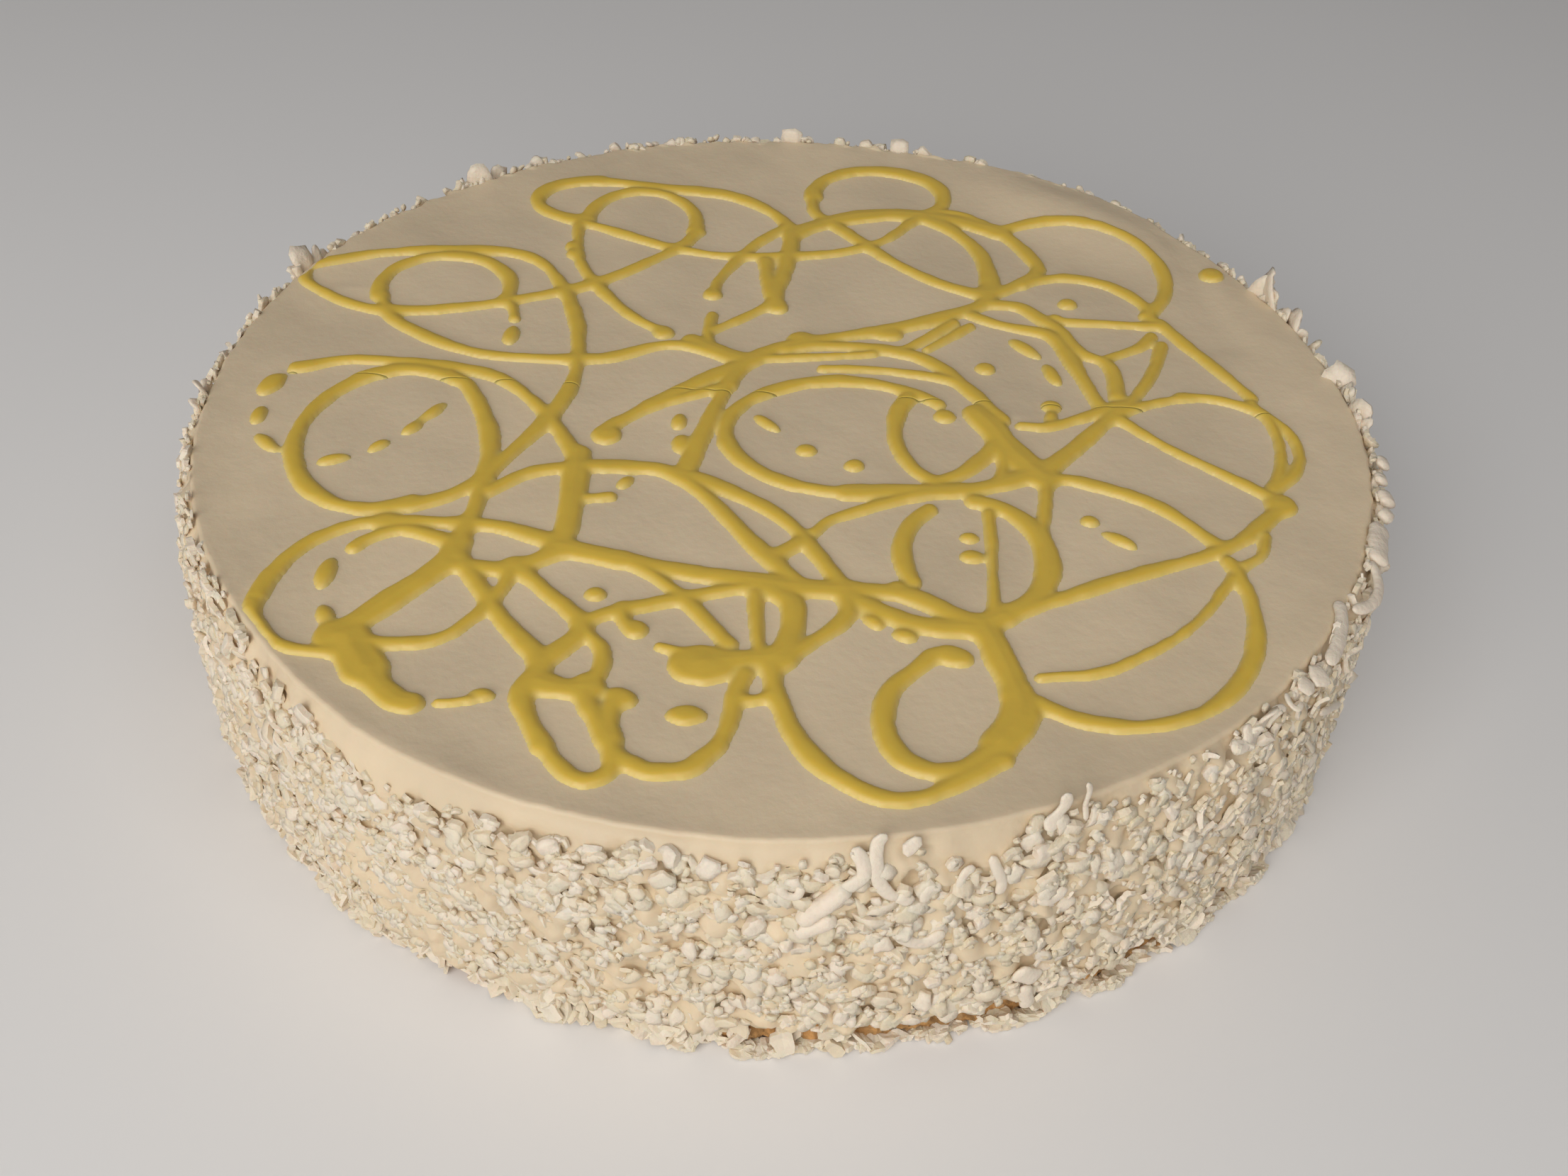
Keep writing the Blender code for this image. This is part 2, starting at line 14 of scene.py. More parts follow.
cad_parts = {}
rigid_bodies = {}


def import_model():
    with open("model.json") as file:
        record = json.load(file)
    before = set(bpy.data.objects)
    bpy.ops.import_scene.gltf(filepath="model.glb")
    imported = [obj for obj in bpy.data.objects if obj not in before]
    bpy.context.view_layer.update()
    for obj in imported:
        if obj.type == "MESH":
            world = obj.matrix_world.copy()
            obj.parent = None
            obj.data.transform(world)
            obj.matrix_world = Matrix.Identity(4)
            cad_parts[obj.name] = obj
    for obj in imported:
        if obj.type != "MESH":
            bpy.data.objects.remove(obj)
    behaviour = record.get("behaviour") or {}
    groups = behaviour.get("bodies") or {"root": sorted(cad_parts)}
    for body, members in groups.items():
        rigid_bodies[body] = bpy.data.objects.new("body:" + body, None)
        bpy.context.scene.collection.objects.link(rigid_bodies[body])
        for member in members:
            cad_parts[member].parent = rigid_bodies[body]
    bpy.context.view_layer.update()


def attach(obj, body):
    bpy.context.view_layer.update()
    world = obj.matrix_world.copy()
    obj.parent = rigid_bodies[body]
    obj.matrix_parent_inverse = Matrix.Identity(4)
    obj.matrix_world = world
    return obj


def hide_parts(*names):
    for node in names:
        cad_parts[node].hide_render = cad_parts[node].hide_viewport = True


bl_info = {
    "name": "Egg Liqueur Cake",
    "version": (1, 0, 0),
    "blender": (4, 5, 0),
    "location": "3D View > Sidebar > Cake",
    "description": "Builds the cream, sponge, drizzle and shavings of an egg liqueur cake",
    "category": "Add Mesh",
}

for leftover in list(bpy.data.objects):
    bpy.data.objects.remove(leftover, do_unlink=True)
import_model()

MM = 0.001
CREAM_NODE = "cream_cake"
SPONGE_NODE = "sponge_base"

# Sizes of the cake in millimetres
TOP_RADIUS = 129.0
CAKE_HEIGHT = 57.0
BASE_HEIGHT = 8.0
BASE_RADIUS = 128.0
SPONGE_REACH = 4.0
LIP_WIDTH = 1.0
TOP_DISH = 0.9
SIDE_BULGE = 0.9
SIDE_STEP = 3.2

# How far shavings may reach: out, down and up
REACH_RADIUS = 136.4
REACH_LOW = 0.1
REACH_HEIGHT = 64.9

# Drizzle: how far strands that meet flow together, the width of their rounded shoulder, how fast a pool
# rises inside it, its distance from the rim, and the half side and step of the grid that it is made on
FLOW = 0.62
SHOULDER = 1.9
POOL_CLIMB = 0.10
RIM_MARGIN = 1.4
GRID_HALF = 129.6
GRID_STEP = 0.48
# How deep and how wide its skirt runs down outside the edge
SKIRT_DEPTH = 0.7
SKIRT_WIDTH = 0.8
# The greatest distance from a strand that is worked out
FAR_AWAY = 9.0

# The raised swell of cream: azimuth and spread in degrees, push outwards, rise, radius and width
SWELL_AZIMUTH = 52.0
SWELL_SPREAD = 15.0
SWELL_PUSH = 1.8
SWELL_RISE = 2.6
SWELL_RADIUS = 119.0
SWELL_WIDTH = 11.0

# The rim's outline: slow waves, a lean to the front, and a bulge with its azimuth
RIM_WAVE = 0.25
RIM_LEAN = 0.6
RIM_BULGE = 1.4
RIM_BULGE_AZIMUTH = -122.0

# Rings of drizzle: centre x, centre y, half width, half depth, first angle, sweep, strand width
RINGS = (
    (22.5, 98.0, 17.9, 14.6, -40, 225, 4.8),
    (30.0, 58.5, 36.0, 29.0, 48, 100, 5.8),
    (-40.5, 77.5, 14.5, 16.3, -10, 190, 3.8),
    (-54.0, 88.0, 15.5, 10.8, 90, 175, 4.5),
    (-85.5, 40.0, 16.0, 15.0, -15, 215, 3.8),
    (-85.5, -22.0, 20.0, 25.5, 60, 238, 4.0),
    (-79.5, -76.0, 19.5, 24.5, 90, 90, 3.8),
    (14.0, -14.2, 27.0, 20.8, 40, 235, 4.0),
    (38.0, -12.0, 13.5, 19.5, 138, 105, 4.0),
    (39.5, -54.0, 15.0, 18.0, -65, 150, 4.8),
    (39.5, -54.0, 14.5, 17.5, 125, 85, 3.8),
    (64.5, -66.0, 29.0, 34.0, -122, 145, 3.6),
    (94.5, -12.0, 19.6, 18.5, -55, 155, 2.8),
    (69.5, 59.5, 25.8, 26.2, -45, 165, 3.6),
    (70.5, 39.0, 18.7, 18.8, 0, 130, 3.6),
)

# Trails of drizzle: strand width, then the places that it passes through
TRAILS = (
    (3.8, (4.6, 97), (5.5, 87.5), (13, 77.5), (25, 63), (38, 52.3), (50, 49), (62, 58)),
    (4.2, (-54, 98.7), (-40, 97), (-17, 94), (-2, 80), (-1.5, 60), (-4, 44)),
    (3.2, (-60, 77.5), (-30, 64.8), (-2, 63), (20, 70), (33, 86)),
    (3.5, (-25.5, 74), (-31, 64), (-49, 46), (-75, 33), (-100, 28.8), (-118, 38), (-122, 46)),
    (3.2, (-56.5, 78), (-56.5, 70), (-53, 53), (-40, 33), (-30, 24)),
    (3.8, (-121, 47), (-105, 54.5), (-85, 58.2), (-67.5, 56.5), (-57.5, 44.5), (-50.3, 22), (-50, -5),
     (-63, -36)),
    (3.6, (-100.5, 35), (-93, 23), (-72, 11.8), (-46, 11.3), (-28, 18.5), (-11, 14.5)),
    (3.6, (-112, 2), (-98, 6.6), (-69.5, 3.5), (-55, -9), (-45, -25)),
    (4.0, (-77, 2), (-71.5, -3), (-64, -21), (-62.7, -40), (-64, -58)),
    (3.2, (-99.2, -78.5), (-98, -82), (-94.5, -86.5), (-91.5, -88.8), (-87.5, -90), (-82, -90)),
    (3.6, (-80, -46.8), (-75, -45.5), (-70, -42.8), (-66, -39.5), (-63, -36)),
    (4.0, (-80, -51.5), (-60, -51), (-46, -55)),
    (3.5, (-84.5, -60), (-82, -57), (-76, -54), (-66, -57), (-63.5, -62)),
    (5.4, (-64, -57), (-66.5, -65), (-74, -75), (-81, -84)),
    (8.0, (-80, -85.5), (-77.5, -89.5), (-74.5, -94)),
    (5.4, (-75.5, -92), (-71, -98), (-67, -101.5), (-64.5, -102.3)),
    (2.0, (-59.5, -101.8), (-57, -101.6), (-54, -100.8)),
    (3.2, (-80, -87), (-63, -85), (-54, -72), (-52, -63)),
    (4.2, (-63, -62), (-51.5, -79), (-43, -90), (-45, -98), (-43.3, -104), (-39.5, -111)),
    (3.3, (-39.5, -111), (-34.5, -117), (-30.5, -118.8), (-27.5, -117), (-26.9, -113.5), (-28, -109)),
    (4.2, (-28, -109), (-31, -104), (-33, -100), (-34, -95)),
    (3.4, (-27, -98.8), (-28.2, -101), (-28.6, -104.5), (-28, -109)),
    (4.2, (-66, -64), (-59, -64.2), (-53.5, -64.2), (-48, -61.5), (-43.5, -58)),
    (4.2, (-52, -63), (-45, -70), (-36.5, -80), (-42.5, -90)),
    (6.0, (-42.5, -95.5), (-38, -96.8), (-33, -96.5)),
    (3.6, (-36, -81), (-32, -86), (-31.5, -91), (-33, -96)),
    (3.4, (-37, -79), (-30, -75), (-14, -69), (-6, -67)),
    (3.4, (-29.5, -74), (-28.5, -78), (-26.5, -80.5)),
    (3.4, (-30, -60), (-24, -64.5), (-17.5, -71), (-8.5, -83)),
    (3.8, (-26, -113.5), (-23.7, -114.4), (-20, -115.9), (-14.5, -115.2), (-11.3, -112.4), (-8.5, -108),
     (-7, -102.5), (-6.4, -96.5), (-5, -91)),
    (3.0, (-6, -97.3), (-3, -97.6), (0.5, -96)),
    (2.4, (-21.3, -84.6), (-18.5, -85.3), (-15, -86.8)),
    (4.0, (0, -88), (0.5, -94.5), (2, -99), (3.7, -104), (6.2, -108.8), (9.7, -113.3), (13.3, -116.2),
     (18, -119), (22.4, -120), (27, -119), (31.7, -116.2), (36, -113.2), (41, -109.5)),
    (3.8, (-1, -57.5), (1.5, -55), (4, -52.5)),
    (5.0, (-9, -88), (-3, -87), (2, -87)),
    (5.2, (-43.5, -57), (-43.3, -46), (-44, -25)),
    (3.0, (-40, -41), (-35.5, -40)),
    (4.0, (-61, -40), (-51, -32), (-29, -29), (-18, -36), (-4, -55), (5, -66)),
    (4.0, (-22, -31), (-14, -34.5), (0, -44), (8, -56), (14, -67)),
    (5.0, (-44, -57), (-26, -61), (2, -66), (24, -66.5), (38, -74), (44, -72)),
    (4.5, (14, -68), (27, -75), (40, -76)),
    (3.6, (44, -72), (72, -57.8), (92, -48), (106, -34)),
    (3.2, (7, -49), (12, -43.5), (30, -34.5), (38, -32.5)),
    (4.6, (14, -35.2), (24, -34), (42, -31.5), (54, -25.5)),
    (5.5, (-1, -67), (3.5, -72), (2.5, -83), (0, -87)),
    (3.0, (-4, -69), (-3.5, -77), (-2.5, -86)),
    (3.8, (14, -68), (13, -75), (3, -86), (0, -89)),
    (6.8, (40, -75), (42, -81), (45, -92), (45, -99), (41, -105.5)),
    (4.2, (35.5, -84), (32.6, -83), (30, -83.7), (27, -87), (23, -91.5), (21, -95.6), (20.4, -100.3),
     (20.8, -104.7), (22.3, -108.4), (25, -111.3), (29, -112.7), (33.6, -112), (37.6, -109), (41, -105)),
    (2.4, (50, -88), (64, -84.8), (80, -73), (91, -58)),
    (2.2, (94, -54), (98.5, -50), (100.5, -44)),
    (3.6, (57, -27), (65, -27.5), (79.5, -35), (90, -47.5)),
    (3.0, (76, -4), (86, -15), (104, -30)),
    (3.0, (76, -1), (84, 3), (92, 6.3)),
    (2.6, (107, 4.5), (109.6, -2.3), (110.2, -9.6), (109.3, -17), (107.3, -23.4), (105, -28)),
    (2.6, (43.5, -40), (43.5, -50), (42.5, -70)),
    (3.0, (57, -26), (56, -34), (54, -47)),
    (7.0, (43, -4), (46.5, -10), (49.5, -16.8), (53, -22.5), (56, -26.5)),
    (3.0, (47, -29), (48, -22), (47, -17)),
    (3.8, (33, -30), (40, -25), (48, -14)),
    (4.4, (56, -25), (62, -18), (73, -4), (77, 1)),
    (3.0, (53, -8), (60, -7.3), (75, 1)),
    (3.0, (78, 1), (85.5, 15), (90, 28)),
    (4.8, (35, 86), (41.5, 81), (48.5, 69.5), (50.3, 54), (49, 47)),
    (4.0, (50, 83), (56.5, 78), (63, 64.5), (62, 58)),
    (3.5, (38, 90), (45, 88.5), (50, 84.5)),
    (3.2, (91, 36.5), (70, 36.8), (65, 38.5)),
    (3.4, (91, 38), (96, 28.5), (104, 14), (107.5, 7)),
    (3.0, (88, 32), (84.5, 27), (76, 21)),
    (4.2, (48.5, 50), (47, 43), (30, 32.7), (10, 25), (-5, 18), (-13, 5), (-20.5, -29)),
    (3.8, (50, 44), (57, 43), (62, 37.5), (66, 32.7), (69.8, 23.5), (74.8, 19.3), (76.5, 14.3), (76.3, 5)),
    (3.8, (45, 38), (52, 34.5), (58, 33), (63.7, 30), (67.2, 19.8), (69.4, 10.5), (71.6, 1.8)),
    (3.8, (0, 19.5), (8, 21.5), (24, 21), (36, 14.5), (49, -6)),
    (2.6, (-6, 15), (10, 17), (20, 19)),
    (3.0, (8, 11.5), (24, 12), (38, 9), (44, 2)),
    (3.0, (40, 34), (30, 24), (26, 21)),
    (2.4, (44, 33), (38, 27), (33, 22)),
    (4.2, (-39, -18), (-37, -13), (-20, 4), (-8, 14)),
    (2.6, (-31, -6), (-25, -3.5), (-13, 3)),
    (5.0, (-23, 21), (-16, 16.5), (-11, 14.5)),
    (3.0, (-19, 33), (-19.5, 26), (-19, 21)),
    (3.0, (-18.5, 26), (-8, 36), (-5, 40)),
    (4.5, (-7, 60), (-6, 51), (-3, 37.5)),
    (3.2, (-2, 79), (-11, 67), (-18, 52), (-19.5, 43)),
    (3.0, (-70, 36), (-67.5, 32), (-66.3, 27.5)),
)

# Drops of drizzle: x, y, length, width, turn in degrees
DROPS = (
    (-116, -5, 9, 5, 70), (-115.5, -17, 7, 3.4, 90), (-111, -27, 8, 3.4, -45), (-78, -12.5, 8, 3, 60),
    (-81.5, -19, 5.5, 3.2, 60), (-87, -26, 5.4, 3, 45), (-95.5, -31.7, 7, 3.2, 25), (-66, 20, 8, 4, 90),
    (-88, -68, 9, 4, 88), (-85.2, -79.8, 6, 3.5, -60), (-35, -70.5, 4.5, 3.8, 0), (-33, -34.5, 5, 3, 60),
    (-23.5, -12, 6, 3.5, 85), (-22.5, -20, 6, 4, 90), (-4, -11, 8, 3, -45), (5, -20.5, 4.6, 4.2, 0),
    (15.5, -25.5, 4.6, 4, 0), (36, -5.5, 5.2, 4.6, 0), (46.5, 15, 5, 4.6, 0), (56.5, 25, 10, 3.8, -50),
    (62, 14, 9, 3.6, -75), (60.5, 0.5, 5, 4, 0), (60, -4, 5, 3, 80), (69, 45, 5, 4.6, 0),
    (107.5, 61, 6.5, 6.5, 0), (19, -75, 4.5, 3, -40), (25, -78.5, 5, 3.2, -20), (24, -65, 4, 4, 0),
    (39, -48, 4, 3.2, 0), (39, -54, 5, 4, 0), (64.5, -41, 4, 3.5, 0), (70, -47, 8, 3.2, -35),
    (-15, -102, 7.5, 4.8, 5), (-27, -98.6, 6, 4.4, -20), (24, 28, 7, 5, 0), (3, 24, 7, 6, 0),
    (-51.9, -99.3, 4.8, 3.4, 0), (-26, -80, 4.6, 4.6, 0), (-81, -86, 10, 9, 0), (106, -33, 7, 7, 0),
    (-39, -18, 6.4, 6.4, 0), (-13, -89, 13, 10.5, 0), (-57, 63, 4, 4, 0), (-56, 59, 4, 4, 0),
    (-30, 24, 5, 5, 0), (-19.5, 43, 4.6, 4.6, 0), (34, -83.7, 6, 4.8, 0),
)

# Light strokes of the palette knife on the top: start x, y, end x, y, width, rise
STROKES = (
    (-55, 74, -30, 67, 1.2, 0.10), (-25, 71, -8, 71, 1.0, 0.08), (0, 38, 35, 39, 1.4, 0.08),
    (-112, 37, -104, 39, 2.2, 0.22), (50, -4, 55, -3, 1.6, 0.15), (-95, -45, -70, -62, 1.3, 0.07),
    (5, 5, 28, -4, 1.3, 0.06), (62, 92, 84, 74, 1.6, 0.12),
)

# Curled ribbons, the last group on the rim and the others on the side: width, thickness, then the
# pixels of the 2212 x 1659 photograph that they pass
RIBBONS = {
    "long_curl": (
        (3.4, 3.3, (1127, 1297), (1150, 1282), (1174, 1268), (1197, 1252)),
        (3.2, 2.6, (1120, 1310), (1140, 1305), (1160, 1298), (1178, 1289)),
        (2.6, 1.4, (1186, 1256), (1204, 1250), (1220, 1239), (1218, 1225), (1205, 1216)),
    ),
    "hooked_curls": (
        (2.5, 1.2, (1256, 1199), (1243, 1210), (1238, 1228), (1241, 1247), (1254, 1261), (1269, 1264)),
        (2.6, 1.4, (1265, 1262), (1276, 1266), (1285, 1272)),
        (2.0, 1.2, (1304, 1271), (1306, 1260), (1316, 1253), (1329, 1252)),
        (2.6, 1.3, (1265, 1313), (1284, 1324), (1307, 1324), (1330, 1309)),
        (1.7, 0.9, (1352, 1262), (1356, 1244), (1366, 1232), (1378, 1228)),
        (2.0, 1.1, (1408, 1259), (1413, 1243), (1407, 1227), (1402, 1214)),
        (2.4, 1.2, (1481, 1182), (1500, 1170), (1516, 1154), (1518, 1139)),
        (1.2, 0.8, (1539, 1168), (1546, 1150), (1552, 1134), (1549, 1124)),
        (2.2, 1.2, (1462, 1264), (1478, 1266), (1492, 1258), (1497, 1247)),
        (1.6, 1.0, (1097, 1250), (1108, 1262), (1124, 1264), (1132, 1252)),
        (2.2, 1.1, (1277, 1217), (1290, 1212), (1306, 1203)),
        (4.2, 1.4, (1430, 1366), (1446, 1369), (1460, 1372)),
        (3.0, 1.7, (1440, 1384), (1443, 1398), (1446, 1411)),
        (2.0, 1.2, (1864, 1006), (1877, 998), (1889, 989)),
        (2.4, 1.5, (1750, 1065), (1765, 1059), (1775, 1047), (1779, 1036)),
    ),
    "rim_curls": (
        (2.8, 1.6, (1887, 851), (1892, 872), (1891, 895), (1884, 917), (1875, 933)),
        (4.5, 2.4, (1947, 743), (1944, 758), (1944, 775), (1946, 794)),
        (2.3, 1.7, (1934, 792), (1942, 806), (1947, 821), (1944, 838), (1933, 850), (1919, 857), (1908, 861)),
        (3.2, 2.0, (1948, 645), (1951, 651), (1953, 658)),
        (3.0, 2.0, (1945, 670), (1948, 675), (1950, 682)),
        (3.8, 2.6, (1950, 696), (1955, 703), (1960, 712)),
        (4.0, 2.6, (1948, 722), (1956, 727), (1965, 732)),
        (4.2, 1.3, (1848, 952), (1861, 950), (1874, 945)),
        (3.6, 1.3, (1830, 961), (1841, 964), (1856, 970)),
        (1.5, 0.9, (1796, 1002), (1806, 997), (1816, 994)),
        (1.4, 0.9, (1768, 1031), (1773, 1023), (1777, 1016)),
        (1.2, 0.8, (1814, 977), (1821, 988), (1833, 993), (1840, 984)),
    ),
}

# Radii of the upright walls on which the photograph's pixels are placed: the side and the foot
SIDE_WALL = TOP_RADIUS + SIDE_STEP + SIDE_BULGE + 1.2
FOOT_WALL = BASE_RADIUS + 5.0

# Shavings that stand over the rim: azimuth in degrees, length, width, height of the tip
STANDING = (
    (91.0, 7, 6, 60.4), (77.0, 7, 5, 60.0), (23.0, 13, 7, 64.8), (18.0, 9, 7, 61.0), (7.0, 8, 7, 61.0),
    (1.0, 9, 6, 60.4), (132.0, 11, 7, 61.4), (159.0, 11, 5, 62.0), (184.0, 8, 5, 60.4), (313.0, 9, 5, 60.0),
)

# Camera fitted to the photograph: focal length in pixels, distance in metres, elevation and roll in
# radians, and the place it aims at
FRAME_WIDTH = 2212
FRAME_HEIGHT = 1659
FOCAL_PIXELS = 2200.0
CAMERA_DISTANCE = 0.3911
CAMERA_ELEVATION = 0.72212
CAMERA_ROLL = 0.04523
CAMERA_AIM = (0.0015, -0.0023, 0.0)

# Where the sponge shows between the shavings at the foot, in the photograph's pixels: left edge, right
# edge, row
SPONGE_GAPS = (
    (1060, 1080, 1463), (1128, 1149, 1488), (1203, 1242, 1474), (1272, 1307, 1464), (1338, 1365, 1454),
    (1392, 1427, 1440), (1506, 1565, 1395), (1562, 1614, 1362), (1682, 1711, 1303), (1728, 1747, 1263),
    (1809, 1828, 1177),
)
# Gaps round the side that the photograph doesn't show: azimuth and half width in degrees
UNSEEN_GAPS = ((20.0, 1.8), (61.0, 1.6), (118.0, 1.6), (171.0, 1.6), (214.0, 1.4))
# How far a gap is kept clear beyond its edges, so that no flake's end lies across it
GAP_CLEARANCE = 0.9

# Shavings on the side: name, points along and across, seed, then the ranges of length, width, thickness,
# bend and distance from the side
SIDE_KINDS = (
    ("chips", 5, 4, 101, (2.4, 5.2), (2.1, 4.0), (0.8, 1.7), (0.05, 0.9), (-0.5, 0.9)),
    ("curls", 8, 3, 102, (3.6, 8.0), (1.4, 2.8), (0.6, 1.2), (0.6, 2.8), (-0.3, 1.0)),
    ("crumbs", 3, 3, 103, (1.0, 2.6), (0.9, 2.2), (0.5, 1.0), (0.05, 0.6), (0.0, 0.9)),
)
PRESSED_SHARE = 0.75
FOOT_GRID = (4, 3)
FOOT_SEED = 104
STANDING_GRID = (6, 4)
STANDING_SEED = 105
# How light the single shavings are, from 0 to 1
SINGLE_SHADE = 0.85

# Colours that are not settings
NUT = (0.62, 0.42, 0.22)
THIN_DRIZZLE = (0.80, 0.62, 0.22)
DARK_SHAVING = (0.80, 0.68, 0.48)
FLOOR_DARK = (0.88, 0.87, 0.86)
FLOOR_LIGHT = (0.91, 0.90, 0.89)

# Soft boxes in metres and watts: name, place, size, power, tint
LIGHTS = (
    ("key", (-0.45, -1.10, 0.80), 1.1, 13.2, (1.0, 0.98, 0.96)),
    ("side", (-1.15, -0.2, 0.5), 1.0, 1.2, (1.0, 0.98, 0.97)),
    ("above", (0.4, -0.55, 1.2), 0.8, 2.6, (1.0, 0.98, 0.96)),
    ("back", (0.3, 1.1, 0.8), 1.0, 0.3, (1.0, 0.98, 0.97)),
)
WORLD_STRENGTH = 0.11
FLOOR_HALF = 3.0


def count_setting(name, description, default, low, high):
    """A setting that counts shavings."""
    return bpy.props.IntProperty(name=name, description=description, default=default, min=low, max=high)


def colour_setting(name, description, default):
    """A setting that is a colour."""
    return bpy.props.FloatVectorProperty(
        name=name, description=description, default=default, subtype="COLOR", min=0.0, max=1.0)


class CakeSettings(bpy.types.PropertyGroup):
    """Sizes and colours that a user would change."""

    strand_rise: bpy.props.FloatProperty(
        name="Strand rise", description="Height of a strand in millimetres", default=1.25, min=0.3, max=3.0)
    chips: count_setting("Chips", "How many flat shavings lie on the side", 2500, 100, 2600)
    curls: count_setting("Curls", "How many curled shavings lie on the side", 1100, 50, 2000)
    crumbs: count_setting("Crumbs", "How many small bits fill in between", 5600, 100, 6000)
    foot: count_setting("Foot flakes", "How many flakes are heaped round the foot", 2700, 50, 4000)
    cream: colour_setting("Cream", "Colour of the whipped cream", (0.78, 0.63, 0.43))
    sponge: colour_setting("Sponge", "Colour of the nut sponge", (0.52, 0.28, 0.10))
    drizzle: colour_setting("Drizzle", "Colour of thick egg liqueur", (0.75, 0.51, 0.07))
    shaving: colour_setting("Shavings", "Colour of the white chocolate", (0.90, 0.78, 0.64))


def settings():
    """The settings in the current scene."""
    return bpy.context.scene.egg_cake


def camera_axes():
    """The camera's eye in metres and its right, up and backward axes: raised, then rolled."""
    back = np.array([0.0, -math.cos(CAMERA_ELEVATION), math.sin(CAMERA_ELEVATION)])
    level = np.array([1.0, 0.0, 0.0])
    rise = np.cross(back, level)
    c, s = math.cos(CAMERA_ROLL), math.sin(CAMERA_ROLL)
    return back * CAMERA_DISTANCE + np.array(CAMERA_AIM), c * level + s * rise, c * rise - s * level, back


# Shapes as arrays


def bell(value, middle, spread):
    """A bump of height 1: e to the minus squared distance from the middle over the spread."""
    return np.exp(-(((value - middle) / spread) ** 2))


def turn(azimuth, middle):
    """The angle from the middle to the azimuth, in degrees, the short way round."""
    return (azimuth - middle + 180.0) % 360.0 - 180.0


def ripple(x, y, z, scale, seed, count=26):
    """Lumps about scale across: a sum of cosine waves in random directions, with a mean square of 1."""
    rng = np.random.default_rng(seed)
    total = np.zeros(np.broadcast(x, y, z).shape)
    for _ in range(count):
        way = rng.normal(size=3)
        way *= 2 * math.pi / (np.linalg.norm(way) * scale * rng.uniform(0.7, 1.5))
        total += np.cos(x * way[0] + y * way[1] + z * way[2] + rng.uniform(0, 2 * math.pi))
    return total * math.sqrt(2.0 / count)


def from_segment(x, y, ax, ay, bx, by):
    """Distance of each place from the straight line between two points."""
    dx, dy = bx - ax, by - ay
    along = np.clip(((x - ax) * dx + (y - ay) * dy) / max(dx * dx + dy * dy, 1e-9), 0.0, 1.0)
    return np.hypot(x - ax - along * dx, y - ay - along * dy)


def far_side(azimuth):
    """1 in the middle of the far side, falling to 0 on the near side."""
    return bell(turn(azimuth, 100.0), 0.0, 55.0)


def on_swell(azimuth, shift=0.0):
    """1 in the middle of the raised swell, or so many degrees from it, falling to 0 away from there."""
    return bell(turn(azimuth, SWELL_AZIMUTH + shift), 0.0, SWELL_SPREAD)


def rim_radius(azimuth):
    """The rim's radius: slow waves, a lean and a bulge to the front, the swell, tears on the far side."""
    a = np.radians(azimuth)
    waves = RIM_WAVE * np.sin(3 * a + 0.6) + RIM_WAVE * np.sin(7 * a + 2.0)
    bulge = RIM_BULGE * bell(turn(azimuth, RIM_BULGE_AZIMUTH), 0.0, 14.0)
    waves = waves + RIM_LEAN - RIM_LEAN * np.sin(a) + bulge
    x, y = TOP_RADIUS * np.cos(a), TOP_RADIUS * np.sin(a)
    tears = (0.08 + 0.40 * far_side(azimuth)) * ripple(x, y, 0.0, 5.0, 11)
    return TOP_RADIUS + waves + SWELL_PUSH * on_swell(azimuth) + tears


def top_relief(x, y):
    """Height of the top over the rim: a dish, the swell and its valley, the lip, strokes, fine lumps."""
    radius = np.hypot(x, y)
    azimuth = np.degrees(np.arctan2(y, x))
    dish = -TOP_DISH * np.maximum(0.0, 1.0 - (radius / (TOP_RADIUS - 4.8)) ** 4)
    swell = SWELL_RISE * on_swell(azimuth) * bell(radius, SWELL_RADIUS, SWELL_WIDTH)
    fold = 0.8 * on_swell(azimuth, -30.0) * bell(radius, 121.0, 8.0)
    valley = -0.55 * bell(from_segment(x, y, 100, 80, 107, 30), 0.0, 4.0)
    front = bell(turn(azimuth, -125.0), 0.0, 75.0)
    climb = np.clip((radius - TOP_RADIUS + 9.0) / 9.0, 0.0, 1.1)
    lip = (0.25 + 0.6 * front) * (climb ** 2 - (radius / TOP_RADIUS) ** 4)
    height = dish + swell + fold + valley + lip
    for *segment, width, rise in STROKES:
        height = height + rise * bell(from_segment(x, y, *segment), 0.0, width)
    return height + 0.16 * ripple(x, y, 0.0, 42.0, 3) + 0.035 * ripple(x, y, 0.0, 9.0, 4)


def side_swell(depth):
    """How far the side stands out at a depth under the rim: a quick step out and a slow bulge."""
    step = SIDE_STEP * (1.0 - np.exp(-np.maximum(depth, 0.0) / 4.5))
    bulge = SIDE_BULGE * np.sin(depth / (CAKE_HEIGHT - BASE_HEIGHT) * math.pi * 0.62)
    return step + bulge


def side_radius(height, azimuth):
    """The side's radius at a height: the rim's and the swell of the side."""
    return rim_radius(azimuth) + side_swell(CAKE_HEIGHT - height)


def bare_band(azimuth):
    """Depth of the bare cream under the rim: two wider places at the front, below 0 away from the front."""
    facing = bell(turn(azimuth, -100.0), 0.0, 36.0)
    wide = 4.0 * bell(turn(azimuth, -120.0), 0.0, 9.0) + 4.5 * bell(turn(azimuth, -74.0), 0.0, 3.0)
    return 2.4 * facing ** 2 - 1.1 * (1.0 - facing) + wide + 0.9 * np.sin(np.radians(azimuth * 23.0)) * facing


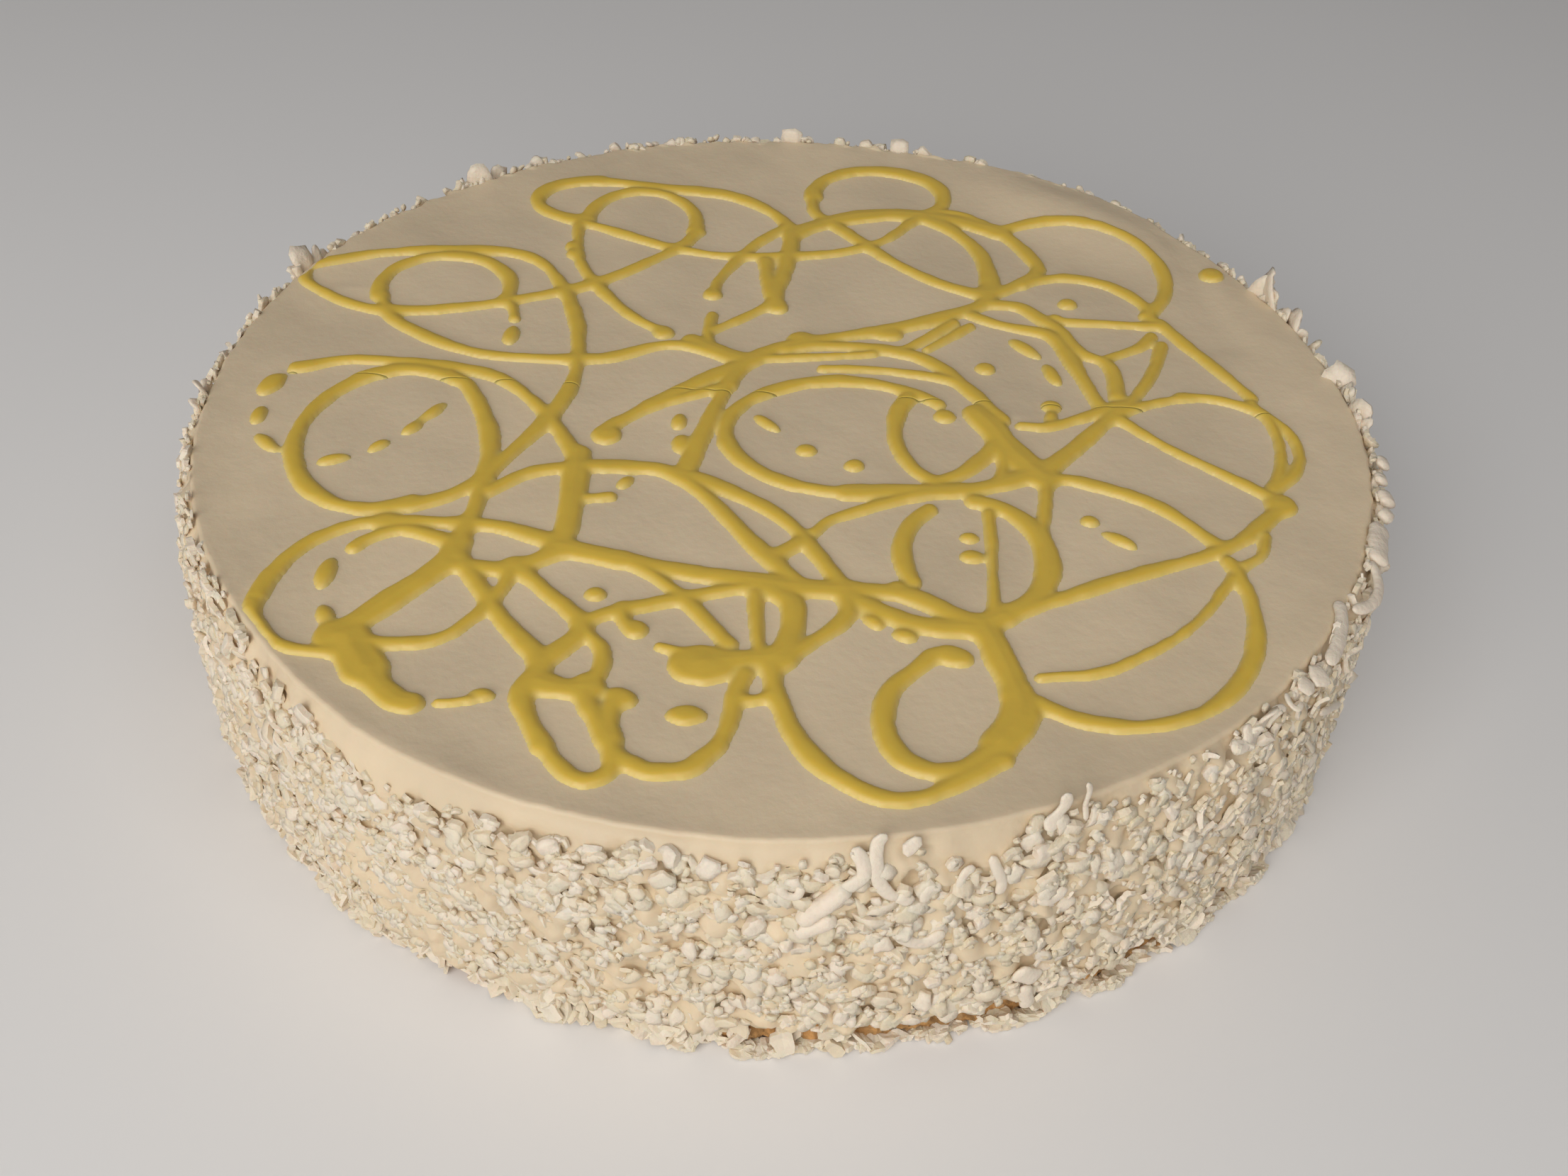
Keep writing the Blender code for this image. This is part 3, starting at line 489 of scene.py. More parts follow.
def turned_faces(rows, columns):
    """Faces of a turned surface whose poles are its last two points: quads, then fans at the poles."""
    i, j = np.meshgrid(np.arange(rows - 1), np.arange(columns), indexing="ij")
    k = (j + 1) % columns
    quads = np.stack([i * columns + j, (i + 1) * columns + j, (i + 1) * columns + k, i * columns + k], -1)
    j = np.arange(columns)
    k = (j + 1) % columns
    last = (rows - 1) * columns
    first_pole = np.full(columns, rows * columns)
    top = np.stack([first_pole, j, k], -1)
    under = np.stack([last + j, first_pole + 1, last + k], -1)
    return quads.reshape(-1, 4), np.concatenate([top, under])


def turned_surface(rows, azimuth):
    """Rows of radius and height turned about Z, with a pole inside the first row and inside the last."""
    radius, height = (np.array(part) for part in zip(*rows))
    a = np.radians(azimuth)
    points = np.stack([radius * np.cos(a), radius * np.sin(a), height], -1).reshape(-1, 3)
    poles = np.array([[0.0, 0.0, height[0].mean()], [0.0, 0.0, height[-1].mean()]])
    return np.concatenate([points, poles]), *turned_faces(len(rows), len(azimuth))


def cream_surface(columns=900):
    """The cream: top out to the rim, a quarter round lip, the bulged side, and back underneath."""
    azimuth = np.arange(columns) * 360.0 / columns
    a = np.radians(azimuth)
    rim = rim_radius(azimuth)
    rows = []
    for share in np.concatenate([np.linspace(0.03, 0.88, 28), np.linspace(0.895, 1.0, 15)]):
        radius = (rim - LIP_WIDTH) * share
        x, y = radius * np.cos(a), radius * np.sin(a)
        rows.append((radius, CAKE_HEIGHT + top_relief(x, y)))
    edge = rows[-1][1]
    x, y = rim * np.cos(a), rim * np.sin(a)
    torn = far_side(azimuth) * np.maximum(0.0, ripple(x, y, 0.0, 4.0, 12) - 0.6) * 0.5
    for bend in np.radians(np.linspace(80, 0, 7)):
        radius = rim - LIP_WIDTH + LIP_WIDTH * math.cos(bend)
        rows.append((radius, edge - LIP_WIDTH * (1.0 - math.sin(bend)) + torn * math.sin(bend)))
    start = rows[-1][1]
    foot = BASE_HEIGHT + 0.35
    for share in np.linspace(0.02, 1.0, 54):
        height = start + (foot - start) * share
        depth = start - height
        bare = np.clip((depth - bare_band(azimuth) + 1.0) / 3.0, 0.0, 1.0)
        lumps = 0.55 * ripple(x, y, height, 6.5, 15) + 0.38 * ripple(x, y, height, 3.2, 16)
        radius = rim + side_swell(depth) + lumps * (0.12 + 0.88 * bare)
        rows.append((radius, height))
    rows.append((rim * 0.5, np.full(columns, foot)))
    return turned_surface(rows, azimuth)


def sponge_surface(columns=640):
    """The sponge: a flat top, a crumbly side pitted by two sizes of ripple, and a flat underside."""
    azimuth = np.arange(columns) * 360.0 / columns
    a = np.radians(azimuth)
    x, y = BASE_RADIUS * np.cos(a), BASE_RADIUS * np.sin(a)
    middle = np.full(columns, BASE_RADIUS * 0.5)
    rows = [(middle, np.full(columns, BASE_HEIGHT))]
    for share in np.linspace(0.0, 1.0, 22):
        height = np.full(columns, BASE_HEIGHT * (1.0 - share))
        crumb = 0.45 * ripple(x, y, height, 2.6, 21) + 0.3 * ripple(x, y, height, 1.3, 22)
        inset = 1.2 * max(0.0, 1.0 - min(share, 1.0 - share) * 8.0)
        rows.append((BASE_RADIUS + SPONGE_REACH - inset + crumb, height))
    rows.append((middle, np.zeros(columns)))
    return turned_surface(rows, azimuth)


def smooth_path(places, step=0.9):
    """Points about a step apart on the Catmull-Rom curve through the places."""
    knots = np.array(places, float)
    knots = np.vstack([2 * knots[0] - knots[1], knots, 2 * knots[-1] - knots[-2]])
    parts = []
    for i in range(1, len(knots) - 2):
        a, b, c, d = knots[i - 1:i + 3]
        count = max(2, round(float(np.linalg.norm(c - b)) / step))
        t = (np.arange(count) / count)[:, None]
        bend = (2 * a - 5 * b + 4 * c - d) * t ** 2 + (3 * b - a - 3 * c + d) * t ** 3
        parts.append(0.5 * (2 * b + (c - a) * t + bend))
    return np.vstack([*parts, knots[-2:-1]])


def ring_path(x, y, half_width, half_depth, start, sweep, step=0.9):
    """Points about a step apart along an arc of an ellipse, angles in degrees."""
    count = max(8, round(math.radians(sweep) * 0.5 * (half_width + half_depth) / step))
    t = np.radians(start + sweep * np.arange(count + 1) / count)
    return np.stack([x + half_width * np.cos(t), y + half_depth * np.sin(t)], -1)


def strand_edge(x, y, path, width, seed):
    """Distance of each place from the strand's edge, below 0 inside the strand."""
    rng = np.random.default_rng(seed)
    steps = np.arange(len(path))
    wander = 0.11 * np.sin(steps * 0.13 + rng.uniform(0, 6)) + 0.05 * np.sin(steps * 0.37 + rng.uniform(0, 6))
    half = 0.5 * width * (1.0 + wander)
    edge = np.full(x.shape, FAR_AWAY)
    for i in range(0, len(path) - 1, 12):
        part = path[i:i + 13]
        reach = width + 5.0
        low, high = part.min(0) - reach, part.max(0) + reach
        near = (x >= low[0]) & (x <= high[0]) & (y >= low[1]) & (y <= high[1])
        px, py = x[near][:, None], y[near][:, None]
        ax, ay = part[:-1, 0], part[:-1, 1]
        dx, dy = part[1:, 0] - ax, part[1:, 1] - ay
        t = np.clip(((px - ax) * dx + (py - ay) * dy) / np.maximum(dx * dx + dy * dy, 1e-9), 0.0, 1.0)
        distance = np.hypot(px - ax - t * dx, py - ay - t * dy)
        edge[near] = np.minimum(edge[near], (distance - half[i:i + len(part) - 1]).min(1))
    return edge


def drizzle_edge(x, y):
    """Distance from the edge of all drizzle: a smooth minimum, so that strands which meet flow together."""
    strands = [(ring_path(*ring[:6]), ring[6]) for ring in RINGS]
    strands += [(smooth_path(places), width) for width, *places in TRAILS]
    total = np.zeros(x.shape)
    for seed, (path, width) in enumerate(strands):
        total += np.exp(-strand_edge(x, y, path, width, seed) / FLOW)
    for dx, dy, length, width, degrees in DROPS:
        c, s = math.cos(math.radians(degrees)), math.sin(math.radians(degrees))
        u = ((x - dx) * c + (y - dy) * s) / (0.5 * length)
        v = ((y - dy) * c - (x - dx) * s) / (0.5 * width)
        total += np.exp(-np.minimum((np.hypot(u, v) - 1.0) * 0.5 * width, FAR_AWAY) / FLOW)
    edge = -FLOW * np.log(total + 1e-9) + 0.06 * ripple(x, y, 0.0, 5.0, 31)
    return np.maximum(edge, np.hypot(x, y) - rim_radius(np.degrees(np.arctan2(y, x))) + RIM_MARGIN)


def drizzle_height(x, y, rise):
    """Height of the drizzle: a quarter round up from its edge, then nearly flat, and below 0 outside."""
    edge = drizzle_edge(x, y)
    depth = np.maximum(-edge, 0.0)
    shoulder = np.sqrt(1.0 - (1.0 - np.minimum(depth / SHOULDER, 1.0)) ** 2)
    inside = rise * (shoulder + POOL_CLIMB * np.maximum(depth - SHOULDER, 0.0))
    return np.where(edge < 0.0, inside, -SKIRT_DEPTH * np.minimum(edge / SKIRT_WIDTH, 1.0))


def drizzle_surface(rise, near):
    """The drizzle as a closed sheet on a square grid: its upper face, one under the top, walls between."""
    line = np.arange(-GRID_HALF, GRID_HALF + 0.1, GRID_STEP)
    x, y = np.meshgrid(line, line, indexing="ij")
    height = drizzle_height(x, y, rise)
    wet = height > 0.0
    cell = wet[:-1, :-1] | wet[1:, :-1] | wet[:-1, 1:] | wet[1:, 1:]
    middle = 0.5 * (y[:-1, :-1] + y[1:, 1:])
    cell &= (middle < 0.0) if near else (middle >= 0.0)
    i, j = np.nonzero(cell)
    size = x.shape[1]
    quads = np.stack([i * size + j, (i + 1) * size + j, (i + 1) * size + j + 1, i * size + j + 1], -1)
    used, faces = np.unique(quads, return_inverse=True)
    faces = faces.reshape(-1, 4)
    px, py, ph = x.ravel()[used], y.ravel()[used], height.ravel()[used]
    base = CAKE_HEIGHT + top_relief(px, py)
    count = len(used)
    upper = np.stack([px, py, base + ph], -1)
    lower = np.stack([px, py, base - 1.0], -1)
    a, b = faces.ravel(), np.roll(faces, -1, axis=1).ravel()
    edge = ~np.isin(a * count + b, b * count + a)
    a, b = a[edge], b[edge]
    walls = np.stack([a, a + count, b + count, b], -1)
    thick = np.concatenate([ph, ph])
    return np.concatenate([upper, lower]), np.concatenate([faces, faces[:, ::-1] + count, walls]), thick


def slab_faces(across_u, across_v):
    """Faces of one thin slab: an outer and an inner grid of points joined round their edge."""
    def quads(*corners):
        return np.stack([(i * across_v + j) * 2 + layer for i, j, layer in corners], -1)
    i, j = np.meshgrid(np.arange(across_u - 1), np.arange(across_v - 1), indexing="ij")
    i, j = i.ravel(), j.ravel()
    u, v = np.arange(across_u - 1), np.arange(across_v - 1)
    end_u, end_v = across_u - 1, across_v - 1
    return np.concatenate([
        quads((i, j, 1), (i + 1, j, 1), (i + 1, j + 1, 1), (i, j + 1, 1)),
        quads((i, j, 0), (i, j + 1, 0), (i + 1, j + 1, 0), (i + 1, j, 0)),
        quads((u, 0, 0), (u + 1, 0, 0), (u + 1, 0, 1), (u, 0, 1)),
        quads((u + 1, end_v, 0), (u, end_v, 0), (u, end_v, 1), (u + 1, end_v, 1)),
        quads((0, v + 1, 0), (0, v, 0), (0, v, 1), (0, v + 1, 1)),
        quads((end_u, v, 0), (end_u, v + 1, 0), (end_u, v + 1, 1), (end_u, v, 1)),
    ])


def slab_smoothing(across_u, across_v, count):
    """Which faces of the slabs are shaded smooth: the outer and inner grids, not the cut edges."""
    grids = 2 * (across_u - 1) * (across_v - 1)
    edges = 2 * (across_u - 1) + 2 * (across_v - 1)
    return np.tile(np.arange(grids + edges) < grids, count)


def slabs(rng, length, width, thick, bend, across_u, across_v, rough=1.0):
    """Soft-cornered slabs, one for each size: a rounded square, tapered, bent on a circle about its width."""
    n = len(length)
    shape = (n, 1, 1, 1)
    u = np.linspace(-1, 1, across_u).reshape(1, -1, 1, 1)
    v = np.linspace(-1, 1, across_v).reshape(1, 1, -1, 1)
    side = np.array([-1.0, 1.0]).reshape(1, 1, 1, 2)
    soft = rng.uniform(0.10, 0.28, shape)
    taper = rough * rng.uniform(-0.3, 0.3, shape)
    ragged = rough * rng.normal(0.0, 0.06, (n, across_u, across_v, 1))
    along = (u * (1.0 - soft * v * v) + ragged) * 0.5 * length.reshape(shape)
    ragged = rough * rng.normal(0.0, 0.08, (n, across_u, across_v, 1))
    across = (v * (1.0 - soft * u * u) * (1.0 - taper * u) + ragged) * 0.5 * width.reshape(shape)
    lumps = rng.normal(0.0, 0.10, (n, across_u, across_v, 1))
    deep = side * 0.5 * thick.reshape(shape) * (1.0 - 0.35 * u ** 4) + lumps * thick.reshape(shape)
    bend = np.maximum(bend, 0.05).reshape(shape)
    ring = length.reshape(shape) / bend
    angle = along / ring
    x = (ring - deep) * np.sin(angle)
    z = ring - (ring - deep) * np.cos(angle)
    y = np.broadcast_to(across, x.shape)
    return np.stack([x, y, z], -1).reshape(n, -1, 3)


def swing(first, second, angle):
    """Two rows of directions, each pair turned by its angle in its own plane."""
    c, s = np.cos(angle)[:, None], np.sin(angle)[:, None]
    return c * first + s * second, c * second - s * first


def on_side(local, azimuth, height, radius, spin, tilt, roll):
    """Places slabs on the side: turned by the spin in the surface, then tipped out of it by tilt and roll."""
    a = np.radians(azimuth)
    zero = np.zeros_like(a)
    out = np.stack([np.cos(a), np.sin(a), zero], -1)
    around = np.stack([-np.sin(a), np.cos(a), zero], -1)
    up = np.broadcast_to([0.0, 0.0, 1.0], out.shape)
    along = swing(around, up, spin)[0]
    tipped, normal = swing(along, out, tilt)
    rolled, normal = swing(np.cross(out, along), normal, roll)
    turned = np.stack([tipped, rolled, normal], 1)
    middle = out * radius[:, None] + up * height[:, None]
    return np.einsum("nvk,nkd->nvd", local, turned) + middle[:, None]


def photo_ray(u, v):
    """The camera's eye in millimetres and the ray through a pixel of the photograph."""
    eye, right, up, back = camera_axes()
    return eye / MM, (u - 0.5 * FRAME_WIDTH) * right - (v - 0.5 * FRAME_HEIGHT) * up - FOCAL_PIXELS * back


def to_wall(u, v, wall):
    """Where the ray through a pixel meets, or just passes, an upright wall: azimuth in degrees and height."""
    eye, ray = photo_ray(u, v)
    a = ray[0] ** 2 + ray[1] ** 2
    b = eye[0] * ray[0] + eye[1] * ray[1]
    inside = max(0.0, b * b - a * (eye[0] ** 2 + eye[1] ** 2 - wall * wall))
    place = eye + (-b - math.sqrt(inside)) / a * ray
    return math.degrees(math.atan2(place[1], place[0])), float(place[2])


def to_rim(u, v):
    """Where the ray through a pixel meets the level of the rim: x and y."""
    eye, ray = photo_ray(u, v)
    place = eye + (CAKE_HEIGHT - eye[2]) / ray[2] * ray
    return float(place[0]), float(place[1])


def sponge_gaps():
    """Azimuth and half width of each place where the sponge shows."""
    gaps = list(UNSEEN_GAPS)
    for left, right, row in SPONGE_GAPS:
        first, last = to_wall(left, row, FOOT_WALL)[0], to_wall(right, row, FOOT_WALL)[0]
        gaps.append((0.5 * (first + last), 0.5 * abs(last - first) + GAP_CLEARANCE))
    return gaps


def ribbon_surface(width, thick, pixels, on_rim, columns=14):
    """A ribbon on the side or the rim: an oval section carried along a smooth path, a pole at each end."""
    if on_rim:
        flat = [to_rim(*pixel) for pixel in pixels]
    else:
        places = [to_wall(*pixel, SIDE_WALL) for pixel in pixels]
        flat = [(math.radians(azimuth) * TOP_RADIUS, height) for azimuth, height in places]
    path = smooth_path(flat, 0.55)
    rows = len(path)
    ahead = np.gradient(path, axis=0)
    ahead /= np.linalg.norm(ahead, axis=1)[:, None]
    sideways = np.stack([-ahead[:, 1], ahead[:, 0]], -1)
    share = np.linspace(-1.0, 1.0, rows)
    steps = np.arange(rows)
    uneven = 1.0 + 0.04 * np.sin(steps * 0.7) + 0.02 * np.sin(steps * 2.3)
    swell = np.sqrt(1.0 - 0.97 * np.abs(share) ** 9) * uneven
    around = np.arange(columns) * 2 * math.pi / columns
    across = 0.5 * width * swell[:, None] * np.cos(around)
    out = 0.5 * thick * swell[:, None] * np.sin(around) + 0.35 * thick
    spot = path[:, None] + sideways[:, None] * across[..., None]
    if on_rim:
        azimuth = np.degrees(np.arctan2(spot[..., 1], spot[..., 0]))
        over = np.hypot(spot[..., 0], spot[..., 1]) - rim_radius(azimuth)
        points = np.concatenate([spot, (CAKE_HEIGHT + out - 0.4 * np.maximum(over, 0.0))[..., None]], -1)
    else:
        azimuth = np.degrees(spot[..., 0] / TOP_RADIUS)
        radius = side_radius(spot[..., 1], azimuth) + 0.7 + out
        a = np.radians(azimuth)
        points = np.stack([radius * np.cos(a), radius * np.sin(a), spot[..., 1]], -1)
    poles = np.stack([points[0].mean(0), points[-1].mean(0)])
    return np.concatenate([points.reshape(-1, 3), poles]), *turned_faces(rows, columns)


def keep_in_reach(points):
    """Slides each shaving up, down and inwards until all of it is within the cake's limits."""
    z = points[..., 2]
    slide = np.maximum(0.0, REACH_LOW - z.min(1)) - np.maximum(0.0, z.max(1) - REACH_HEIGHT)
    points[..., 2] += slide[:, None]
    far = np.hypot(points[..., 0], points[..., 1]).max(1)
    middle = points[..., :2].mean(1)
    inwards = -middle / np.linalg.norm(middle, axis=1)[:, None]
    points[..., :2] += (inwards * np.maximum(0.0, far - REACH_RADIUS)[:, None])[:, None]
    return points


def many(points, across_u, across_v):
    """All slabs of one kind as one list of points and faces."""
    faces = slab_faces(across_u, across_v)
    n, per_piece = points.shape[:2]
    offsets = (np.arange(n) * per_piece)[:, None, None]
    return points.reshape(-1, 3), (faces[None] + offsets).reshape(-1, 4)


def side_places(rng, n, margin):
    """Evenly shaken places on the side below the bare band: azimuth in degrees and height."""
    azimuth = (np.arange(n) + rng.uniform(-0.5, 0.5, n)) * 360.0 / n
    rng.shuffle(azimuth)
    low = BASE_HEIGHT + 0.8
    high = CAKE_HEIGHT - bare_band(azimuth) - margin
    return azimuth, low + (high - low) * rng.uniform(0.0, 1.0, n) ** 1.08


# Meshes and materials


def make_piece(name, points, faces, material, nodes, values=None, smooth=True):
    mesh = bpy.data.meshes.new(name)
    groups = [np.asarray(group) for group in faces]
    corners = np.concatenate([group.ravel() for group in groups]).astype(np.int32)
    sizes = np.concatenate([np.full(len(group), group.shape[1]) for group in groups])
    starts = np.concatenate([[0], np.cumsum(sizes)[:-1]]).astype(np.int32)
    mesh.vertices.add(len(points))
    mesh.vertices.foreach_set("co", (np.asarray(points) * MM).astype(np.float32).ravel())
    mesh.loops.add(len(corners))
    mesh.loops.foreach_set("vertex_index", corners)
    mesh.polygons.add(len(sizes))
    mesh.polygons.foreach_set("loop_start", starts)
    mesh.update(calc_edges=True)
    mesh.validate()
    mesh.polygons.foreach_set("use_smooth", np.broadcast_to(smooth, len(mesh.polygons)).tolist())
    if values is not None:
        attribute = mesh.attributes.new("shade", "FLOAT", "POINT")
        attribute.data.foreach_set("value", np.asarray(values, np.float32))
    mesh.materials.append(material)
    piece = bpy.data.objects.new(name, mesh)
    bpy.context.scene.collection.objects.link(piece)
    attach(piece, "root")
    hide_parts(*nodes)


def make_shavings(name, slab_points, grid, node, shades, smooth):
    """Keeps slabs within the cake's limits and makes them one piece, with a shade for each slab."""
    points, faces = many(keep_in_reach(slab_points), *grid)
    values = np.repeat(shades, slab_points.shape[1])
    make_piece(name, points, (faces,), shaving_material(), [node], values, smooth)


class Value:
    """A number socket on which arithmetic adds Math nodes."""

    def __init__(self, paint, socket):
        self.paint = paint
        self.socket = socket

    def combine(self, operation, first, second):
        """A Math node of that operation on two values or numbers."""
        return self.paint.value("ShaderNodeMath", {"operation": operation}, {0: first, 1: second})

    def __add__(self, other):
        return self.combine("ADD", self, other)

    def __sub__(self, other):
        return self.combine("SUBTRACT", self, other)

    def __mul__(self, other):
        return self.combine("MULTIPLY", self, other)


class Paint:
    """A Principled material and the nodes that feed it."""

    def __init__(self, name, roughness, **constants):
        self.material = bpy.data.materials.new(name)
        self.material.use_nodes = True
        self.tree = self.material.node_tree
        self.shader = self.tree.nodes["Principled BSDF"]
        self.shader.inputs["Roughness"].default_value = roughness
        for socket, number in constants.items():
            self.shader.inputs[socket.replace("_", " ")].default_value = number
        self.place = self.node("ShaderNodeTexCoord", {}, {}).outputs["Object"]

    def node(self, kind, choices, inputs):
        """A node of that type: its settings first, then the numbers or links of its sockets."""
        made = self.tree.nodes.new(kind)
        for key, choice in choices.items():
            setattr(made, key, choice)
        for key, source in inputs.items():
            source = source.socket if isinstance(source, Value) else source
            if isinstance(source, bpy.types.NodeSocket):
                self.tree.links.new(source, made.inputs[key])
            else:
                made.inputs[key].default_value = source
        return made

    def value(self, kind, choices, inputs, output=0):
        """The number that a new node gives."""
        return Value(self, self.node(kind, choices, inputs).outputs[output])

    def noise(self, scale, detail=3.0):
        """Noise of that many lumps a metre, on the object's own coordinates."""
        return self.value("ShaderNodeTexNoise", {}, {"Vector": self.place, "Scale": scale, "Detail": detail})

    def ramp(self, value, low, high):
        """The value spread from 0 at low to 1 at high."""
        inputs = {"Value": value, "From Min": low, "From Max": high}
        return self.value("ShaderNodeMapRange", {"clamp": True}, inputs, "Result")

    def mix(self, share, first, second):
        """A colour between two, by the share."""
        first = (*first, 1.0) if isinstance(first, tuple) else first
        second = (*second, 1.0) if isinstance(second, tuple) else second
        inputs = {"Factor": share, 6: first, 7: second}
        return self.node("ShaderNodeMix", {"data_type": "RGBA"}, inputs).outputs[2]

    def colour(self, source):
        """Feeds the base colour."""
        self.tree.links.new(source, self.shader.inputs["Base Color"])

    def roughness(self, value):
        """Feeds the roughness."""
        self.tree.links.new(value.socket, self.shader.inputs["Roughness"])

    def bump(self, value, depth):
        """Feeds the normal with a bump of that depth in metres."""
        inputs = {"Height": value, "Distance": depth, "Strength": 1.0}
        made = self.node("ShaderNodeBump", {}, inputs)
        self.tree.links.new(made.outputs["Normal"], self.shader.inputs["Normal"])


def shaded(colour, factor):
    """The colour made lighter or darker by a factor."""
    return tuple(min(1.0, part * factor) for part in colour)


def cream_material():
    """Whipped cream: satin, slightly mottled, with very fine pores."""
    colour = tuple(settings().cream)
    paint = Paint("whipped_cream", 0.5, Subsurface_Weight=0.12, Subsurface_Scale=0.003)
    mottle = paint.ramp(paint.noise(28.0, 4.0), 0.35, 0.65)
    paint.colour(paint.mix(mottle, shaded(colour, 0.93), shaded(colour, 1.05)))
    paint.roughness(paint.noise(60.0) * 0.16 + 0.42)
    paint.bump(paint.noise(520.0, 4.0) + paint.noise(110.0) * 0.4, 0.00013)
    return paint.material


def sponge_material():
    """Nut sponge: matte brown crumb with darker pores and paler nut."""
    colour = tuple(settings().sponge)
    paint = Paint("nut_sponge", 0.9)
    crumb = paint.ramp(paint.noise(520.0, 5.0), 0.36, 0.64)
    nut = paint.ramp(paint.noise(330.0, 2.0), 0.60, 0.70)
    base = paint.mix(crumb, shaded(colour, 0.55), shaded(colour, 1.3))
    paint.colour(paint.mix(nut * 0.6, base, NUT))
    paint.bump(paint.noise(700.0, 5.0), 0.0007)
    return paint.material


def drizzle_material():
    """Egg liqueur: satin, deep yellow where thick and paler at thin edges."""
    colour = tuple(settings().drizzle)
    paint = Paint("egg_liqueur", 0.35, Subsurface_Weight=0.15, Subsurface_Scale=0.002)
    thick = paint.value("ShaderNodeAttribute", {"attribute_name": "shade"}, {}, "Fac")
    share = paint.ramp(thick + paint.noise(120.0) * 0.5 - 0.25, 0.1, 1.1)
    paint.colour(paint.mix(share, THIN_DRIZZLE, colour))
    paint.roughness(paint.noise(90.0) * 0.14 + 0.32)
    paint.bump(paint.noise(160.0), 0.0002)
    return paint.material


def shaving_material():
    """White chocolate, made once: waxy, a little different on each shaving, with scraped streaks."""
    if "white_chocolate" in bpy.data.materials:
        return bpy.data.materials["white_chocolate"]
    colour = tuple(settings().shaving)
    paint = Paint("white_chocolate", 0.45, Subsurface_Weight=0.12, Subsurface_Scale=0.0025)
    shade = paint.value("ShaderNodeAttribute", {"attribute_name": "shade"}, {}, "Fac")
    base = paint.mix(shade, DARK_SHAVING, colour)
    streak = paint.ramp(paint.noise(650.0, 4.0), 0.3, 0.7)
    paint.colour(paint.mix(streak * 0.3, base, shaded(colour, 0.82)))
    paint.bump(paint.noise(900.0, 3.0), 0.00025)
    return paint.material


# Operators


class CAKE_OT_cream(bpy.types.Operator):
    """Build the cream with its lip, dish and swell"""

    bl_idname = "cake.cream"
    bl_label = "Cream"

    def execute(self, context):
        points, quads, fans = cream_surface()
        make_piece("cream", points, (quads, fans), cream_material(), [CREAM_NODE])
        return {"FINISHED"}


class CAKE_OT_sponge(bpy.types.Operator):
    """Build the crumbly sponge base"""

    bl_idname = "cake.sponge"
    bl_label = "Sponge"

    def execute(self, context):
        points, quads, fans = sponge_surface()
        make_piece("sponge", points, (quads, fans), sponge_material(), [SPONGE_NODE])
        return {"FINISHED"}


class CAKE_OT_drizzle(bpy.types.Operator):
    """Pour the egg liqueur over the top"""

    bl_idname = "cake.drizzle"
    bl_label = "Drizzle"

    def execute(self, context):
        material = drizzle_material()
        for name, near in (("drizzle_near", True), ("drizzle_far", False)):
            points, faces, thick = drizzle_surface(settings().strand_rise, near)
            make_piece(name, points, (faces,), material, [CREAM_NODE], thick)
        return {"FINISHED"}


class CAKE_OT_side_shavings(bpy.types.Operator):
    """Press chips, curls and crumbs of white chocolate into the side"""

    bl_idname = "cake.side_shavings"
    bl_label = "Side shavings"

    def execute(self, context):
        for name, across_u, across_v, seed, *sizes, lifts in SIDE_KINDS:
            rng = np.random.default_rng(seed)
            count = getattr(settings(), name)
            length, width, thick, bend = (rng.uniform(low, high, count) for low, high in sizes)
            local = slabs(rng, length, width, thick, bend, across_u, across_v)
            pressed = rng.uniform(size=count) < PRESSED_SHARE
            local[pressed, :, 1:] *= -1.0
            azimuth, height = side_places(rng, count, 0.3 * length)
            tilt = rng.normal(0.0, 0.20, count)
            roll = rng.normal(0.0, 0.24, count)
            lift = rng.uniform(*lifts, count) + 0.12 * length * np.abs(np.sin(tilt))
            radius = side_radius(height, azimuth) + lift
            points = on_side(local, azimuth, height, radius, rng.uniform(0, math.pi, count), tilt, roll)
            make_shavings(name, points, (across_u, across_v), CREAM_NODE, rng.uniform(0.0, 1.0, count),
                          slab_smoothing(across_u, across_v, count))
        return {"FINISHED"}


class CAKE_OT_foot_shavings(bpy.types.Operator):
    """Heap loose flakes round the foot, with gaps where the sponge shows"""

    bl_idname = "cake.foot_shavings"
    bl_label = "Foot shavings"

    def execute(self, context):
        rng = np.random.default_rng(FOOT_SEED)
        count = settings().foot
        azimuth = rng.uniform(-180.0, 180.0, count)
        height = 0.6 + 9.5 * rng.uniform(0.0, 1.0, count) ** 1.3
        length = rng.uniform(2.4, 6.0, count)
        for gap, half_width in sponge_gaps():
            inside = (np.abs(turn(azimuth, gap)) < half_width) & (height > 1.6)
            height[inside] = rng.uniform(0.4, 1.0, inside.sum())
            length[inside] *= 0.6
        a = np.radians(azimuth)
        heap = ripple(BASE_RADIUS * np.cos(a), BASE_RADIUS * np.sin(a), 0.0, 9.0, 41)
        local = slabs(rng, length, rng.uniform(2.0, 4.2, count), rng.uniform(0.6, 1.3, count),
                      rng.uniform(0.05, 1.4, count), *FOOT_GRID)
        low = height < 2.0
        radius = BASE_RADIUS + 5.7 - 0.1 * height + 0.7 * heap + rng.normal(0.0, 0.6, count)
        radius[low] -= 0.8
        tilt = np.where(low, rng.normal(0.0, 0.3, count), rng.normal(-0.35, 0.4, count))
        roll = np.where(low, rng.normal(1.4, 0.3, count), rng.normal(0.0, 0.5, count))
        spin = np.where(low, rng.normal(0.0, 0.3, count), rng.uniform(0, math.pi, count))
        points = on_side(local, azimuth, height, radius, spin, tilt, roll)
        make_shavings("foot_flakes", points, FOOT_GRID, SPONGE_NODE, rng.uniform(0.1, 1.0, count), False)
        return {"FINISHED"}


